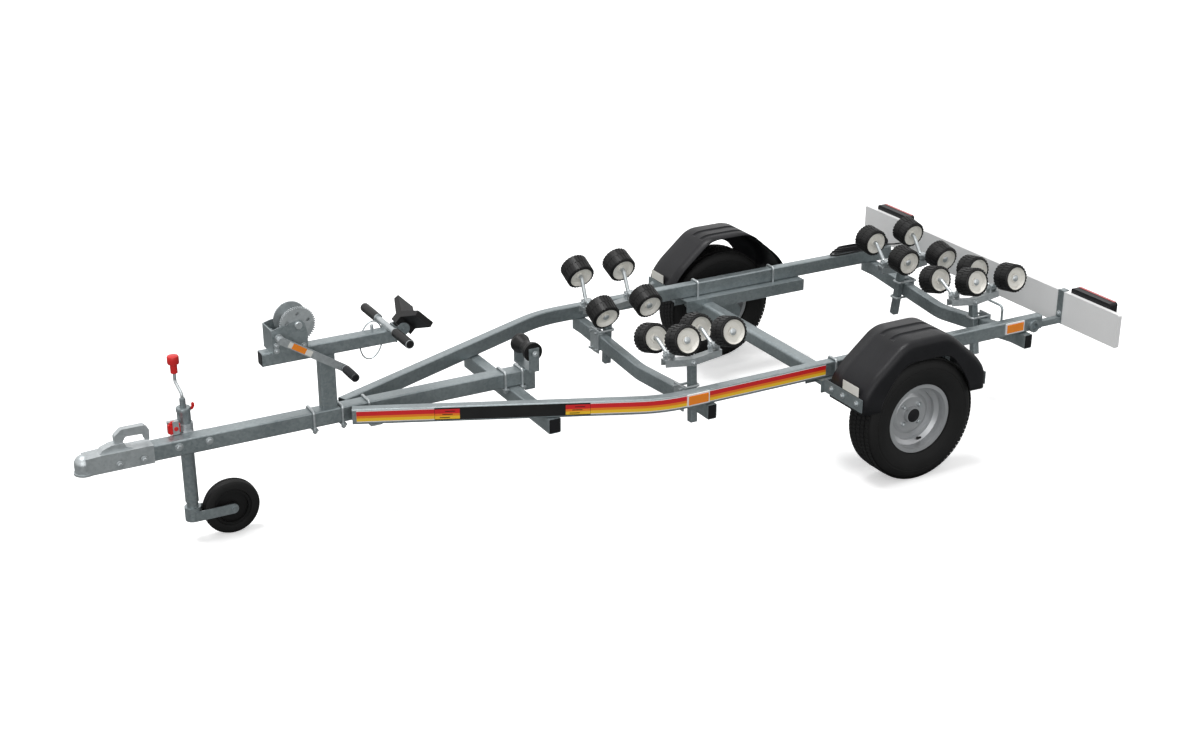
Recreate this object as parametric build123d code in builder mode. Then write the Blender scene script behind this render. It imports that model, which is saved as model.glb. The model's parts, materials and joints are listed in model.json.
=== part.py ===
from build123d import *
from math import atan2, cos, degrees, hypot, radians, sin, tan
import os

# Single-axle boat trailer with tilting roller cradles, winch post, jockey wheel and light board.
#
# Frame: +X runs rearwards, -Y is the trailer's left side, +Z up, ground at Z = 0.
# Stations are distances from the coupling's nose; along() turns them into X.

# ---------------------------------------------------------------- driving dimensions (mm, degrees)
# frame
frame_top = 450.0            # top of the drawbar and of both side rails
tube_wall = 3.0
rail_height = 60.0
rail_width = 40.0
drawbar_height = 60.0
drawbar_width = 60.0
drawbar_front = 95.0         # station of the drawbar's front end, inside the coupling
drawbar_rear = 1710.0
rail_front = 997.0
rail_bend = 2038.0
rail_rear = 3842.0
rail_bend_radius = 450.0
frame_half_width = 529.0     # outer face of a side rail beside the wheels
cross_width = 40.0
cross_height = 60.0
front_cross_station = 1660.0
front_cross_overhang = 8.0
front_cross_width = 50.0
cradle_cross_bends = (200.0, 350.0, 200.0)
bolt_gap = 0.2               # a rod laid on a tube
u_bolt_radius = 5.0
nut_radius = 9.5
nut_height = 9.0
clamp_plate = 6.0

side_beam_bolt_stations = (2801.0, 3191.0)
front_bolt_reach = 36.0      # drawbar U-bolts ahead of and behind the front crossmember
rail_clamp_station = 1070.0
rail_clamp_half = 22.0       # half length of the plate under the rails' front ends
eye_station = 3797.0         # lashing eye on each rail's outer face
eye_height = 411.0
eye_radius = 26.0
eye_hole_radius = 14.0
eye_thickness = 11.0
hook_station = 3640.0        # bent rod on the left rail
hook_height = 518.0
hook_reach = 84.0
hook_radius = 5.0
hook_bend = 18.0
# axle and wheels
axle_station = 3031.0
hub_face_y = 708.0           # wheel disc's seat on the hub
rim_centre_y = 718.0
tyre_radius = 252.0
tyre_width = 145.0
rim_flange_radius = 141.0
rim_half_width = 55.0
bead_seat_radius = 126.5
rim_well_radius = 104.0
rim_wall = 4.0
bead_clearance = 0.3
hub_radius = 62.0
hub_length = 66.0
spindle_radius = 17.0
side_beam_height = 50.0
side_beam_inner_y = 443.0
side_beam_outer_y = 550.0
side_beam_front = 2723.0
side_beam_rear = 3330.0
side_beam_wall = 4.0
axle_tube_station = 2830.0
axle_tube_size = 60.0
axle_tube_height = 340.0
axle_tube_end_y = 556.0
arm_thickness = 26.0
arm_boss_radius = 42.0

# mudguards
guard_inner_y = 585.0
guard_outer_y = 805.0
guard_wall = 4.0
guard_bottom = 335.0
guard_top = 594.0
guard_half_length = 293.0
guard_half_top = 103.0
guard_shoulder = (250.0, 468.0)      # half length and height of the break between facets
guard_knee = 408.0                   # height where the vertical ends begin
arch_half_top = 108.0                # wheel opening in the outer side
arch_half_bottom = 212.0
arch_top = 509.0
strip_height = 52.0
strip_thickness = 4.0
strip_bottom = 345.0

# coupling
coupling_radius = 38.0       # flange round the socket, and the ball's station
ball_radius = 25.0
ball_clearance = 0.25
ball_height = 424.0
coupling_bottom = 388.0
coupling_rear = 273.0
coupling_wall = 4.0
sleeve_clearance = 0.3
lock_half_width = 20.0
lock_line = ((88.0, 452.0), (100.0, 466.0), (132.0, 477.7), (176.0, 477.7), (184.0, 462.0),
             (214.0, 452.0))              # lock housing: station, height
coupling_dome_radius = 34.0
coupling_flange = 7.0        # thickness of the flange round the socket's mouth
coupling_bolt_stations = (150.0, 235.0)
coupling_bolt_rise = 22.0    # bolts above the drawbar's underside
bolt_head = 7.0
handle_half_width = 13.0
handle_line = ((146.0, 478.0), (146.0, 505.0), (172.0, 527.0), (252.0, 527.0), (268.0, 510.0),
               (266.0, 470.0), (250.0, 472.0), (246.0, 496.0), (184.0, 498.0), (172.0, 478.0))
handle_bends = (2.0, 14.0, 14.0, 10.0, 14.0, 3.0, 3.0, 10.0, 8.0, 2.0)

# jockey wheel
jockey_station = 416.0
jockey_y = 77.0
jockey_outer_radius = 24.15
jockey_inner_radius = 21.0
jockey_fit = 0.08
jockey_outer_bottom = 158.0
jockey_outer_top = 526.0
jockey_inner_bottom = 92.0
jockey_inner_top = 470.0
jockey_wheel_radius = 105.0
jockey_wheel_width = 50.0
jockey_rim_radius = 68.0
jockey_trail = 141.0
fork_arm_height = 38.0
fork_arm_thickness = 5.0
fork_clearance = 3.5
fork_collar_radius = 30.0
fork_collar_top = 136.0
jockey_axle_radius = 8.0
jockey_stem_radius = 11.0    # neck on the tube's head, round the crank
jockey_stem_rise = 34.0
jockey_crank_radius = 6.0
jockey_crank_rise = 50.0     # crank's first bend above the tube's head
jockey_crank_bend = 14.0
jockey_crank_throw = (-8.0, 44.0)        # knob's offset from the tube, along and across
jockey_knob_top = 706.0
jockey_knob_radius = 20.0
jockey_knob_length = 28.0
jockey_neck_radius = 12.0
jockey_neck_length = 34.0
jockey_hub_radius = 20.0
jockey_web_half = 6.0
jockey_rim_edge = 8.0        # depth and inset of the rim's rounded edge
jockey_tyre_round = 12.0

clamp_plate_half = 66.0      # jockey clamp's plate on the drawbar's side
clamp_bolt_reach = 54.0
clamp_bolt_drop = 24.0       # clamp's bolts below the drawbar's top
clamp_edge = 4.0             # clamp plate inside the drawbar's top and bottom
clamp_neck_half = 16.0
clamp_wall = 5.0
clamp_collar_rise = 18.0     # collar's top above the drawbar
clamp_lug_half = 9.0
clamp_lug_reach = 62.0       # pinch lug forward of the tube
clamp_lug_rise = (-14.0, 32.0)
clamp_screw_reach = 46.0
clamp_screw_rise = 20.0
clamp_screw_radius = 7.0
clamp_sleeve_radius = 14.0
clamp_sleeve_length = 22.0
clamp_plate_low = (11.0, 18.0, 32.0)     # lever plate: half width, reach down, reach up

# winch post and bow rest
bow_hub_reach = 32.0         # bow block's bolt behind the beam's end
bow_hub_drop = 4.0           # and below the beam's top
bow_hub_half = 22.0
bow_hub_radius = 21.0
bow_block_length = 80.0
bow_block_thickness = 20.0
bow_wing_reach = 100.0
bow_wing_rise = 66.0
bow_neck = 27.0
bow_plate = 5.0              # bracket plates beside and behind the bow block
bow_plate_rise = 20.0
bow_disc_radius = 24.0
bow_bolt_radius = 6.0
post_station = 926.0
post_length = 60.0           # along the trailer
post_width = 40.0
post_bolt_reach = (69.0, 41.0)           # drawbar U-bolts ahead of and behind the post's middle
beam_front = 685.0
beam_rear = 1190.0
beam_bottom = 660.0
beam_height = 50.0
beam_width = 50.0
drum_station = 817.0
drum_height = 803.0
gear_teeth = 48
pinion_teeth = 12
gear_centre_distance = 82.0
crank_shaft_station = 743.0
crank_shaft_height = 768.0
winch_half_width = 48.0
winch_plate = 4.0
winch_line = ((-57.0, 0.0), (75.0, 0.0), (75.0, 62.0), (66.0, 98.0), (54.0, 110.0), (30.0, 110.0),
              (6.0, 100.0), (-30.0, 96.0), (-57.0, 88.0))      # side plate above the beam
gear_thickness = 7.0
flange_thickness = 3.0
flange_gap = 6.0             # drum's near flange behind the gear
tooth_relief = 1.0           # plain gears' radii inside their pitch circles
pinion_length = 12.0
axle_nut_radius = 14.0
axle_nut_length = 8.0
crank_standoff = 30.0        # arm outside the winch's side plate
crank_arm_width = 28.0
crank_arm_thickness = 5.0
crank_pin_radius = 6.0
drum_flange_radius = 60.0
drum_hub_radius = 20.0
drum_axle_radius = 8.0
crank_shaft_radius = 8.0
crank_reach = 268.0
crank_angle = -33.0          # arm's fall below level, rearwards
crank_grip_length = 95.0
crank_grip_radius = 15.0
bow_bar_station = 1167.0
bow_bar_height = 722.0
bow_bar_half = 215.0
bow_grip_length = 135.0
bow_grip_radius = 16.5
bow_bar_radius = 11.0

# keel roller
keel_height = 527.0
keel_length = 120.0
keel_end_radius = 38.0
keel_waist_radius = 25.0
keel_pin_radius = 6.0
keel_stem_bottom = 365.0
keel_stem_length = 42.0
bracket_plate = 6.0
end_float = 1.5

# roller cradles
cradle_post_size = 30.0
cradle_post_gap = 0.3        # between a post and its crossmember
cradle_pin_radius = 6.0
pin_fit = 0.06
cradle_beam_half = 125.0
cradle_beam_wall = 3.0
cradle_beam_top = 17.0       # middle of the web's top above the pivot
cradle_beam_depth = 27.0
cradle_beam_slack = 0.5      # each side of the post inside the channel
cradle_beam_rise = 15.0      # ends of a cradle beam above its middle
rocker_offset = 100.0        # rocker bolts fore and aft of the beam's pivot
rocker_height = 48.0         # rocker bolts above the beam's pivot
roller_lift = 60.0           # roller axis above its rocker bolt
roller_spacing = 240.0
roller_width = 80.0
roller_radius = 59.0
roller_hub_radius = 47.0
roller_recess = 14.0
rocker_rod_radius = 8.0
rocker_boss_radius = 14.0
rocker_boss_length = 24.0
rocker_bolt_radius = 5.0
rocker_bend_radius = 22.0

# light board
board_station = 3953.0
board_thickness = 18.0
board_half_width = 840.0
board_height = 142.0
board_top = 530.0
plate_pad = 1.0              # raised pad behind the number plate, on the board's rear face
plate_pad_size = (520.0, 112.0)
lamp_depth = 40.0
lamp_length = 225.0
lamp_height = 110.0
lamp_inner_y = 545.0
lamp_rise = 22.0             # lamp's top above the board's top
arm_size = 25.0
arm_inside = 260.0           # length of a board arm inside its rail
strap_width = 30.0
strap_thickness = 4.0

reflector_stations = (2177.0, 3695.0)
reflector_length = 96.0
reflector_height = 46.0
reflector_depth = 6.0
reflector_bottom = 400.0

# lighting lead
lead_radius = 3.5
lay_gap = 0.3                # soft things lie this far above the rail
hank_front = 3493.0
hank_rear = 3765.0
hank_width = 46.0
hank_front_height = 20.0
hank_rear_height = 62.0
plug_radius = 18.0
plug_length = 70.0
plug_offset = 9.0            # plug's axis outboard of the rail's middle
gland_radius = 8.0
gland_length = 10.0

overall_length = board_station + board_thickness + lamp_depth


def along(station):
    """X of a station measured from the coupling's nose; the origin is half-way along."""
    return station - overall_length / 2


# ---------------------------------------------------------------- derived values
frame_bottom = frame_top - rail_height
rail_y = frame_half_width - rail_width / 2
keel_station = drawbar_rear + keel_stem_length / 2
rail_front_y = drawbar_width / 2 + rail_width / 2 + bolt_gap
rail_angle = atan2(rail_y - rail_front_y, rail_bend - rail_front)
gear_pitch_radius = gear_centre_distance * gear_teeth / (gear_teeth + pinion_teeth)
pinion_radius = gear_centre_distance - gear_pitch_radius
beam_top = beam_bottom + beam_height
SIDES = (("left", -1), ("right", 1))

# cradles: name, crossmember's station, overhang past the rail, fall of its middle,
#          side of the crossmember that the posts stand on, post's foot, pivot's y and height, lean
CROSSMEMBERS = (
    ("front", 2235.0, 9.0, 35.0, 1, 238.0, 330.0, 480.0, 3.0),
    ("rear", 3750.0, 29.0, 52.0, -1, 216.0, 243.0, 437.0, 9.0),
)
# rest tilt of each rocker, its outer roller up: crossmember, side, end, degrees
ROCKER_TILTS = {
    ("front", "left"): (17.0, 16.0), ("front", "right"): (26.0, 21.0),
    ("rear", "left"): (15.0, 9.0), ("rear", "right"): (5.0, 11.0),
}


def rail_centre_y(station):
    """Y of the right rail's centreline on its slanting front stretch."""
    return rail_front_y + (station - rail_front) * tan(rail_angle)


def block(x_range, y_range, z_range, mode=Mode.ADD):
    """Box between two planes each way, in the part being built."""
    sizes = [high - low for low, high in (x_range, y_range, z_range)]
    centre = tuple((low + high) / 2 for low, high in (x_range, y_range, z_range))
    with Locations(centre):
        Box(*sizes, mode=mode)


def rod(start, end, radius, mode=Mode.ADD):
    """Cylinder between two points, in the part being built."""
    run = Vector(*end) - Vector(*start)
    with BuildSketch(Plane(origin=start, z_dir=run)) as section:
        Circle(radius)
    extrude(section.sketch, amount=run.length, mode=mode)


def bent_rod(points, radius, bend):
    """Round bar along straight runs joined by arcs."""
    with BuildLine() as path:
        FilletPolyline(*points, radius=bend)
    with BuildSketch(Plane(origin=path.line @ 0, z_dir=path.line % 0)) as section:
        Circle(radius)
    sweep(section.sketch, path=path.line)


def u_bolt_legs(low, high):
    """Leg centres of a U-bolt over a tube that spans low to high."""
    return low - u_bolt_radius - bolt_gap, high + u_bolt_radius + bolt_gap


def u_bolt(station_x, y_range, z_bottom, plate=0.0):
    """Square U-bolt over a frame tube, in a plane across the trailer, its nuts under z_bottom."""
    left, right = u_bolt_legs(*y_range)
    crown = frame_top + u_bolt_radius + bolt_gap
    nut_top = z_bottom - plate - bolt_gap
    foot = nut_top - nut_height - 4.0
    bent_rod(((station_x, left, foot), (station_x, left, crown),
              (station_x, right, crown), (station_x, right, foot)), u_bolt_radius, u_bolt_radius + 4)
    with BuildSketch(Plane.XY.offset(nut_top - nut_height)) as nuts:
        with Locations((station_x, left), (station_x, right)):
            RegularPolygon(nut_radius, 6)
    extrude(nuts.sketch, amount=nut_height)
    if plate:
        block((station_x - nut_radius, station_x + nut_radius), (left - 14, right + 14),
              (z_bottom - plate, z_bottom))


def save(builder, name):
    builder.part.label = name
    export_step(builder.part, f"parts/{name}.step")


os.makedirs("parts", exist_ok=True)

# ---------------------------------------------------------------- drawbar and side rails
with BuildPart() as drawbar:
    with BuildSketch(Plane.YZ.offset(along(drawbar_front))):
        with Locations((0, frame_top - drawbar_height / 2)):
            RectangleRounded(drawbar_width, drawbar_height, 2 * tube_wall)
            RectangleRounded(drawbar_width - 2 * tube_wall, drawbar_height - 2 * tube_wall,
                             tube_wall, mode=Mode.SUBTRACT)
    extrude(amount=drawbar_rear - drawbar_front)
save(drawbar, "drawbar")

for side, sign in SIDES:
    centre_z = frame_top - rail_height / 2
    with BuildPart() as side_rail:
        with BuildLine() as centreline:
            FilletPolyline((along(rail_front), sign * rail_front_y, centre_z),
                           (along(rail_bend), sign * rail_y, centre_z),
                           (along(rail_rear), sign * rail_y, centre_z), radius=rail_bend_radius)
        start = Plane(origin=centreline.line @ 0, x_dir=(0, 0, 1), z_dir=centreline.line % 0)
        with BuildSketch(start):
            RectangleRounded(rail_height, rail_width, 2 * tube_wall)
            RectangleRounded(rail_height - 2 * tube_wall, rail_width - 2 * tube_wall,
                             tube_wall, mode=Mode.SUBTRACT)
        sweep(path=centreline.line)
        face_y = sorted((sign * frame_half_width, sign * (frame_half_width + eye_thickness)))
        rod((along(eye_station), face_y[0], eye_height), (along(eye_station), face_y[1], eye_height), eye_radius)
        rod((along(eye_station), face_y[0] - 1, eye_height), (along(eye_station), face_y[1] + 1, eye_height),
            eye_hole_radius, mode=Mode.SUBTRACT)
        if side == "left":
            bent_rod(((along(hook_station), sign * rail_y, frame_top - 1),
                      (along(hook_station), sign * rail_y, hook_height),
                      (along(hook_station), sign * (rail_y - hook_reach), hook_height)),
                     hook_radius, hook_bend)
    save(side_rail, f"side_rail_{side}")

# ---------------------------------------------------------------- crossmembers
with BuildPart() as front_crossmember:
    half = rail_centre_y(front_cross_station) + rail_width / 2 + front_cross_overhang
    with BuildSketch(Plane.XZ.offset(-half)):
        with Locations((along(front_cross_station), frame_bottom - cross_height / 2)):
            RectangleRounded(front_cross_width, cross_height, 2 * tube_wall)
            RectangleRounded(front_cross_width - 2 * tube_wall, cross_height - 2 * tube_wall,
                             tube_wall, mode=Mode.SUBTRACT)
    extrude(amount=2 * half)
save(front_crossmember, "front_crossmember")

for name, station, overhang, fall, post_side, post_foot, pivot_y, pivot_z, lean in CROSSMEMBERS:
    half = frame_half_width + overhang
    mid_z = frame_bottom - cross_height / 2
    with BuildPart() as crossmember:
        with BuildLine() as centreline:
            FilletPolyline((along(station), -half, mid_z), (along(station), -rail_y + rail_width, mid_z),
                           (along(station), 0, mid_z - fall),
                           (along(station), rail_y - rail_width, mid_z), (along(station), half, mid_z),
                           radius=cradle_cross_bends)
        with BuildSketch(Plane(origin=centreline.line @ 0, x_dir=(0, 0, 1), z_dir=(0, 1, 0))):
            RectangleRounded(cross_height, cross_width, 2 * tube_wall)
            RectangleRounded(cross_height - 2 * tube_wall, cross_width - 2 * tube_wall,
                             tube_wall, mode=Mode.SUBTRACT)
        sweep(path=centreline.line)
    save(crossmember, f"{name}_cradle_crossmember")

# ---------------------------------------------------------------- axle, side beams and arms
with BuildPart() as axle_beam:
    block((along(side_beam_front), along(side_beam_rear)),
          (side_beam_inner_y, side_beam_outer_y), (frame_bottom - side_beam_height, frame_bottom))
    block((along(side_beam_front) - 1, along(side_beam_rear) + 1),
          (side_beam_inner_y + side_beam_wall, side_beam_outer_y - side_beam_wall),
          (frame_bottom - side_beam_height - 1, frame_bottom - side_beam_wall), mode=Mode.SUBTRACT)
    for station in side_beam_bolt_stations:
        for leg_y in u_bolt_legs(rail_y - rail_width / 2, rail_y + rail_width / 2):
            rod((along(station), leg_y, frame_bottom - 10), (along(station), leg_y, frame_bottom + 1),
                u_bolt_radius + bolt_gap, mode=Mode.SUBTRACT)
    for end in (-1, 1):
        strip_x = sorted((along(axle_station) + end * guard_half_length,
                          along(axle_station) + end * (guard_half_length + strip_thickness)))
        block(strip_x, (side_beam_outer_y, guard_outer_y - 12), (strip_bottom, strip_bottom + strip_height))
    mirror(about=Plane.XZ)
    with BuildSketch(Plane.XZ.offset(-axle_tube_end_y)):
        with Locations((along(axle_tube_station), axle_tube_height)):
            RectangleRounded(axle_tube_size, axle_tube_size, 14)
    extrude(amount=2 * axle_tube_end_y)
    with BuildSketch(Plane.XZ.offset(-axle_tube_end_y - 1)):
        with Locations((along(axle_tube_station), axle_tube_height)):
            RectangleRounded(axle_tube_size - 10, axle_tube_size - 10, 9)
    extrude(amount=2 * axle_tube_end_y + 2, mode=Mode.SUBTRACT)
save(axle_beam, "axle_beam")

arm_inner_y = axle_tube_end_y
arm_outer_y = arm_inner_y + arm_thickness
with BuildPart() as suspension_arms:
    with BuildSketch(Plane.XZ.offset(-arm_outer_y)):
        with Locations(((along(axle_tube_station) + along(axle_station)) / 2,
                        (axle_tube_height + tyre_radius) / 2)):
            SlotCenterToCenter(hypot(axle_station - axle_tube_station, axle_tube_height - tyre_radius),
                               1.4 * arm_boss_radius,
                               rotation=degrees(atan2(tyre_radius - axle_tube_height,
                                                      axle_station - axle_tube_station)))
        with Locations((along(axle_tube_station), axle_tube_height), (along(axle_station), tyre_radius)):
            Circle(arm_boss_radius)
    extrude(amount=arm_thickness)
    rod((along(axle_station), arm_outer_y, tyre_radius),
        (along(axle_station), hub_face_y + 6, tyre_radius), spindle_radius)
    with BuildSketch(Plane.XZ.offset(-arm_outer_y)):
        with Locations((along(axle_station), tyre_radius)):
            Circle(spindle_radius + 12)
    extrude(amount=-(hub_face_y - hub_length - arm_outer_y - 1.0))
    mirror(about=Plane.XZ)
save(suspension_arms, "suspension_arms")

# ---------------------------------------------------------------- road wheels
wheel_inner = rim_centre_y - rim_half_width
for side, sign in SIDES:
    axle = Plane(origin=(along(axle_station), 0, tyre_radius), x_dir=(0, 0, 1), z_dir=(-1, 0, 0))
    disc_y = hub_face_y
    rim_lines = (
        (rim_flange_radius, rim_half_width), (rim_flange_radius, rim_half_width - rim_wall),
        (bead_seat_radius + rim_wall, rim_half_width - rim_wall),
        (bead_seat_radius, rim_half_width - 12), (bead_seat_radius - 2, 22),
        (rim_well_radius + rim_wall, 12), (rim_well_radius + rim_wall, -12),
        (bead_seat_radius - 2, -22), (bead_seat_radius, 12 - rim_half_width),
        (bead_seat_radius + rim_wall, rim_wall - rim_half_width),
        (rim_flange_radius, rim_wall - rim_half_width), (rim_flange_radius, -rim_half_width),
        (bead_seat_radius, -rim_half_width), (bead_seat_radius - rim_wall, 12 - rim_half_width),
        (bead_seat_radius - 2 - rim_wall, -22), (rim_well_radius, -12), (rim_well_radius, 12),
        (bead_seat_radius - 2 - rim_wall, 22), (bead_seat_radius - rim_wall, rim_half_width - 12),
        (bead_seat_radius, rim_half_width),
    )
    with BuildPart() as rim:
        with BuildSketch(axle):
            Polygon(*[(r, sign * (rim_centre_y + v)) for r, v in rim_lines], align=None)
        revolve(axis=Axis((along(axle_station), 0, tyre_radius), (0, 1, 0)))
        with BuildSketch(axle):
            Polygon(*[(r, sign * y) for r, y in (
                (spindle_radius + jockey_fit, disc_y - hub_length),
                (hub_radius, disc_y - hub_length), (hub_radius, disc_y),
                (rim_well_radius + 1, disc_y), (rim_well_radius + 1, disc_y + 5),
                (84, disc_y + 5), (70, disc_y + 12), (34, disc_y + 12), (32, disc_y + 30),
                (0, disc_y + 30), (0, disc_y + 8), (spindle_radius + jockey_fit, disc_y + 8))],
                    align=None)
        revolve(axis=Axis((along(axle_station), 0, tyre_radius), (0, 1, 0)))
    save(rim, f"rim_{side}")

    half = tyre_width / 2
    bead_bore = bead_seat_radius + bead_clearance
    heel = rim_half_width - rim_wall - bead_clearance
    with BuildPart() as tyre:
        with BuildSketch(axle):
            Polygon(*[(r, sign * (rim_centre_y + v)) for r, v in (
                    (bead_bore, rim_half_width - 12), (bead_bore + rim_wall, heel),
                    (rim_flange_radius + 1.5, heel), (rim_flange_radius + 4, half - 10),
                    (190, half), (226, half - 4), (tyre_radius - 3, half - 17), (tyre_radius, 0),
                    (tyre_radius - 3, 17 - half), (226, 4 - half), (190, -half),
                    (rim_flange_radius + 4, 10 - half), (rim_flange_radius + 1.5, -heel),
                    (bead_bore + rim_wall, -heel), (bead_bore, 12 - rim_half_width),
                    (bead_bore, 24 - rim_half_width), (150, 26 - half),
                    (190, 12 - half), (222, 18 - half), (tyre_radius - 16, 0), (222, half - 18),
                    (190, half - 12), (150, half - 26), (bead_bore, rim_half_width - 24))],
                    align=None)
        revolve(axis=Axis((along(axle_station), 0, tyre_radius), (0, 1, 0)))
    save(tyre, f"tyre_{side}")

# ---------------------------------------------------------------- mudguards and their strips
axle_x = along(axle_station)
guard_line = (
    (-guard_half_length, guard_bottom), (-guard_half_length, guard_knee),
    (-guard_shoulder[0], guard_shoulder[1]), (-guard_half_top, guard_top),
    (guard_half_top, guard_top), (guard_shoulder[0], guard_shoulder[1]),
    (guard_half_length, guard_knee), (guard_half_length, guard_bottom),
)
arch_line = ((-arch_half_bottom, guard_bottom - 1), (-arch_half_top, arch_top),
             (arch_half_top, arch_top), (arch_half_bottom, guard_bottom - 1))
with BuildPart() as mudguards:
    with BuildSketch(Plane.XZ.offset(-guard_outer_y)):
        with Locations((axle_x, 0)):
            Polygon(*guard_line, align=None)
    extrude(amount=guard_outer_y - guard_inner_y)
    with BuildSketch(Plane.XZ.offset(-guard_outer_y + guard_wall)):
        with Locations((axle_x, 0)):
            Polygon(*guard_line, align=None)
        offset(amount=-guard_wall)
        with Locations((axle_x, guard_bottom)):
            Rectangle(2 * (guard_half_length - guard_wall), 2 * guard_wall + 2)
    extrude(amount=guard_outer_y - guard_inner_y, mode=Mode.SUBTRACT)
    with BuildSketch(Plane.XZ.offset(-guard_outer_y - 1)):
        with Locations((axle_x, 0)):
            Polygon(*arch_line, align=None)
    extrude(amount=2 * guard_wall + 1, mode=Mode.SUBTRACT)
    mirror(about=Plane.XZ)
save(mudguards, "mudguards")

# ---------------------------------------------------------------- U-bolts and the front clamp
with BuildPart() as u_bolts:
    for station in side_beam_bolt_stations:
        u_bolt(along(station), (rail_y - rail_width / 2, rail_y + rail_width / 2),
               frame_bottom - side_beam_wall)
        u_bolt(along(station), (-rail_y - rail_width / 2, -rail_y + rail_width / 2),
               frame_bottom - side_beam_wall)
    for station in (front_cross_station - front_bolt_reach, front_cross_station + front_bolt_reach,
                    post_station - post_bolt_reach[0], post_station + post_bolt_reach[1]):
        u_bolt(along(station), (-drawbar_width / 2, drawbar_width / 2), frame_bottom, clamp_plate)
    u_bolt(along(rail_clamp_station), (-drawbar_width / 2, drawbar_width / 2), frame_bottom, clamp_plate)
    reach = rail_centre_y(rail_clamp_station) + rail_width / 2
    block((along(rail_clamp_station) - rail_clamp_half, along(rail_clamp_station) + rail_clamp_half),
          (-reach, reach),
          (frame_bottom - clamp_plate, frame_bottom))
save(u_bolts, "u_bolts")

# ---------------------------------------------------------------- coupling head and its handle
ball_x = along(coupling_radius)
with BuildPart() as coupling_head:
    rod((ball_x, 0, coupling_bottom), (ball_x, 0, coupling_bottom + coupling_flange), coupling_radius)
    rod((ball_x, 0, coupling_bottom), (ball_x, 0, ball_height), coupling_dome_radius)
    with Locations((ball_x, 0, ball_height)):
        Sphere(coupling_dome_radius)
    sleeve = drawbar_width / 2 + coupling_wall
    neck_top = ball_height + coupling_dome_radius * 0.8
    with BuildSketch(Plane.XZ.offset(-sleeve)):
        Polygon((ball_x, coupling_bottom), (along(coupling_rear), coupling_bottom),
                (along(coupling_rear), frame_top + coupling_wall),
                (along(drawbar_front) - coupling_wall, frame_top + coupling_wall), (ball_x, neck_top),
                align=None)
    extrude(amount=2 * sleeve)
    with BuildSketch(Plane.YZ.offset(along(drawbar_front))):
        with Locations((0, frame_top - drawbar_height / 2)):
            RectangleRounded(drawbar_width + 2 * sleeve_clearance, drawbar_height + 2 * sleeve_clearance,
                             2 * tube_wall)
    extrude(amount=coupling_rear - drawbar_front + 1, mode=Mode.SUBTRACT)
    with BuildSketch(Plane.XZ.offset(-lock_half_width)):
        with Locations((along(0), 0)):
            Polygon(*lock_line, align=None)
    extrude(amount=2 * lock_half_width)
    rod((ball_x, 0, coupling_bottom - 1), (ball_x, 0, ball_height), ball_radius + ball_clearance,
        mode=Mode.SUBTRACT)
    with Locations((ball_x, 0, ball_height)):
        Sphere(ball_radius + ball_clearance, mode=Mode.SUBTRACT)
    bolt_z = frame_bottom + coupling_bolt_rise
    for bolt_station in coupling_bolt_stations:
        for face_y in (-sleeve - bolt_head, sleeve):
            rod((along(bolt_station), face_y, bolt_z), (along(bolt_station), face_y + bolt_head, bolt_z),
                nut_radius)
save(coupling_head, "coupling_head")

with BuildPart() as coupling_handle:
    with BuildSketch(Plane.XZ.offset(-handle_half_width)):
        with BuildLine():
            FilletPolyline(*[(along(station), height) for station, height in handle_line],
                           radius=handle_bends, close=True)
        make_face()
    extrude(amount=2 * handle_half_width)
save(coupling_handle, "coupling_handle")

# ---------------------------------------------------------------- jockey wheel
jockey_x = along(jockey_station)
jockey_axle_x = jockey_x + jockey_trail
collar_gap = 0.3
with BuildPart() as jockey_clamp:
    near_y = drawbar_width / 2 + collar_gap
    block((jockey_x - clamp_plate_half, jockey_x + clamp_plate_half), (near_y, near_y + bracket_plate),
          (frame_bottom + clamp_edge, frame_top - clamp_edge))
    rod((jockey_x, jockey_y, frame_bottom + clamp_edge), (jockey_x, jockey_y, frame_top + clamp_collar_rise),
        jockey_outer_radius + clamp_wall)
    block((jockey_x - clamp_neck_half, jockey_x + clamp_neck_half), (near_y, jockey_y),
          (frame_bottom + clamp_edge, frame_top - clamp_edge))
    block((jockey_x - clamp_lug_reach, jockey_x), (jockey_y - clamp_lug_half, jockey_y + clamp_lug_half),
          (frame_top + clamp_lug_rise[0], frame_top + clamp_lug_rise[1]))
    rod((jockey_x, jockey_y, frame_bottom), (jockey_x, jockey_y, frame_top + clamp_lug_rise[1] + 1),
        jockey_outer_radius + collar_gap, mode=Mode.SUBTRACT)
    bolt_z = frame_top - clamp_bolt_drop
    for bolt_x in (jockey_x - clamp_bolt_reach, jockey_x + clamp_bolt_reach):
        for face_y in (near_y + bracket_plate, -drawbar_width / 2 - bolt_head):
            rod((bolt_x, face_y, bolt_z), (bolt_x, face_y + bolt_head, bolt_z), nut_radius)
    screw = Vector(jockey_x - clamp_screw_reach, jockey_y - clamp_lug_half, frame_top + clamp_screw_rise)
    sleeve_y = screw.Y - clamp_sleeve_length
    rod((screw.X, screw.Y, screw.Z), (screw.X, sleeve_y, screw.Z), clamp_screw_radius)
    rod((screw.X, sleeve_y, screw.Z), (screw.X, sleeve_y - clamp_sleeve_length, screw.Z), clamp_sleeve_radius)
    block((screw.X - clamp_plate_low[0], screw.X + clamp_plate_low[0]),
          (sleeve_y - clamp_sleeve_length - 4, sleeve_y - clamp_sleeve_length),
          (screw.Z - clamp_plate_low[1], screw.Z + clamp_plate_low[2]))
save(jockey_clamp, "jockey_clamp")

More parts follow.
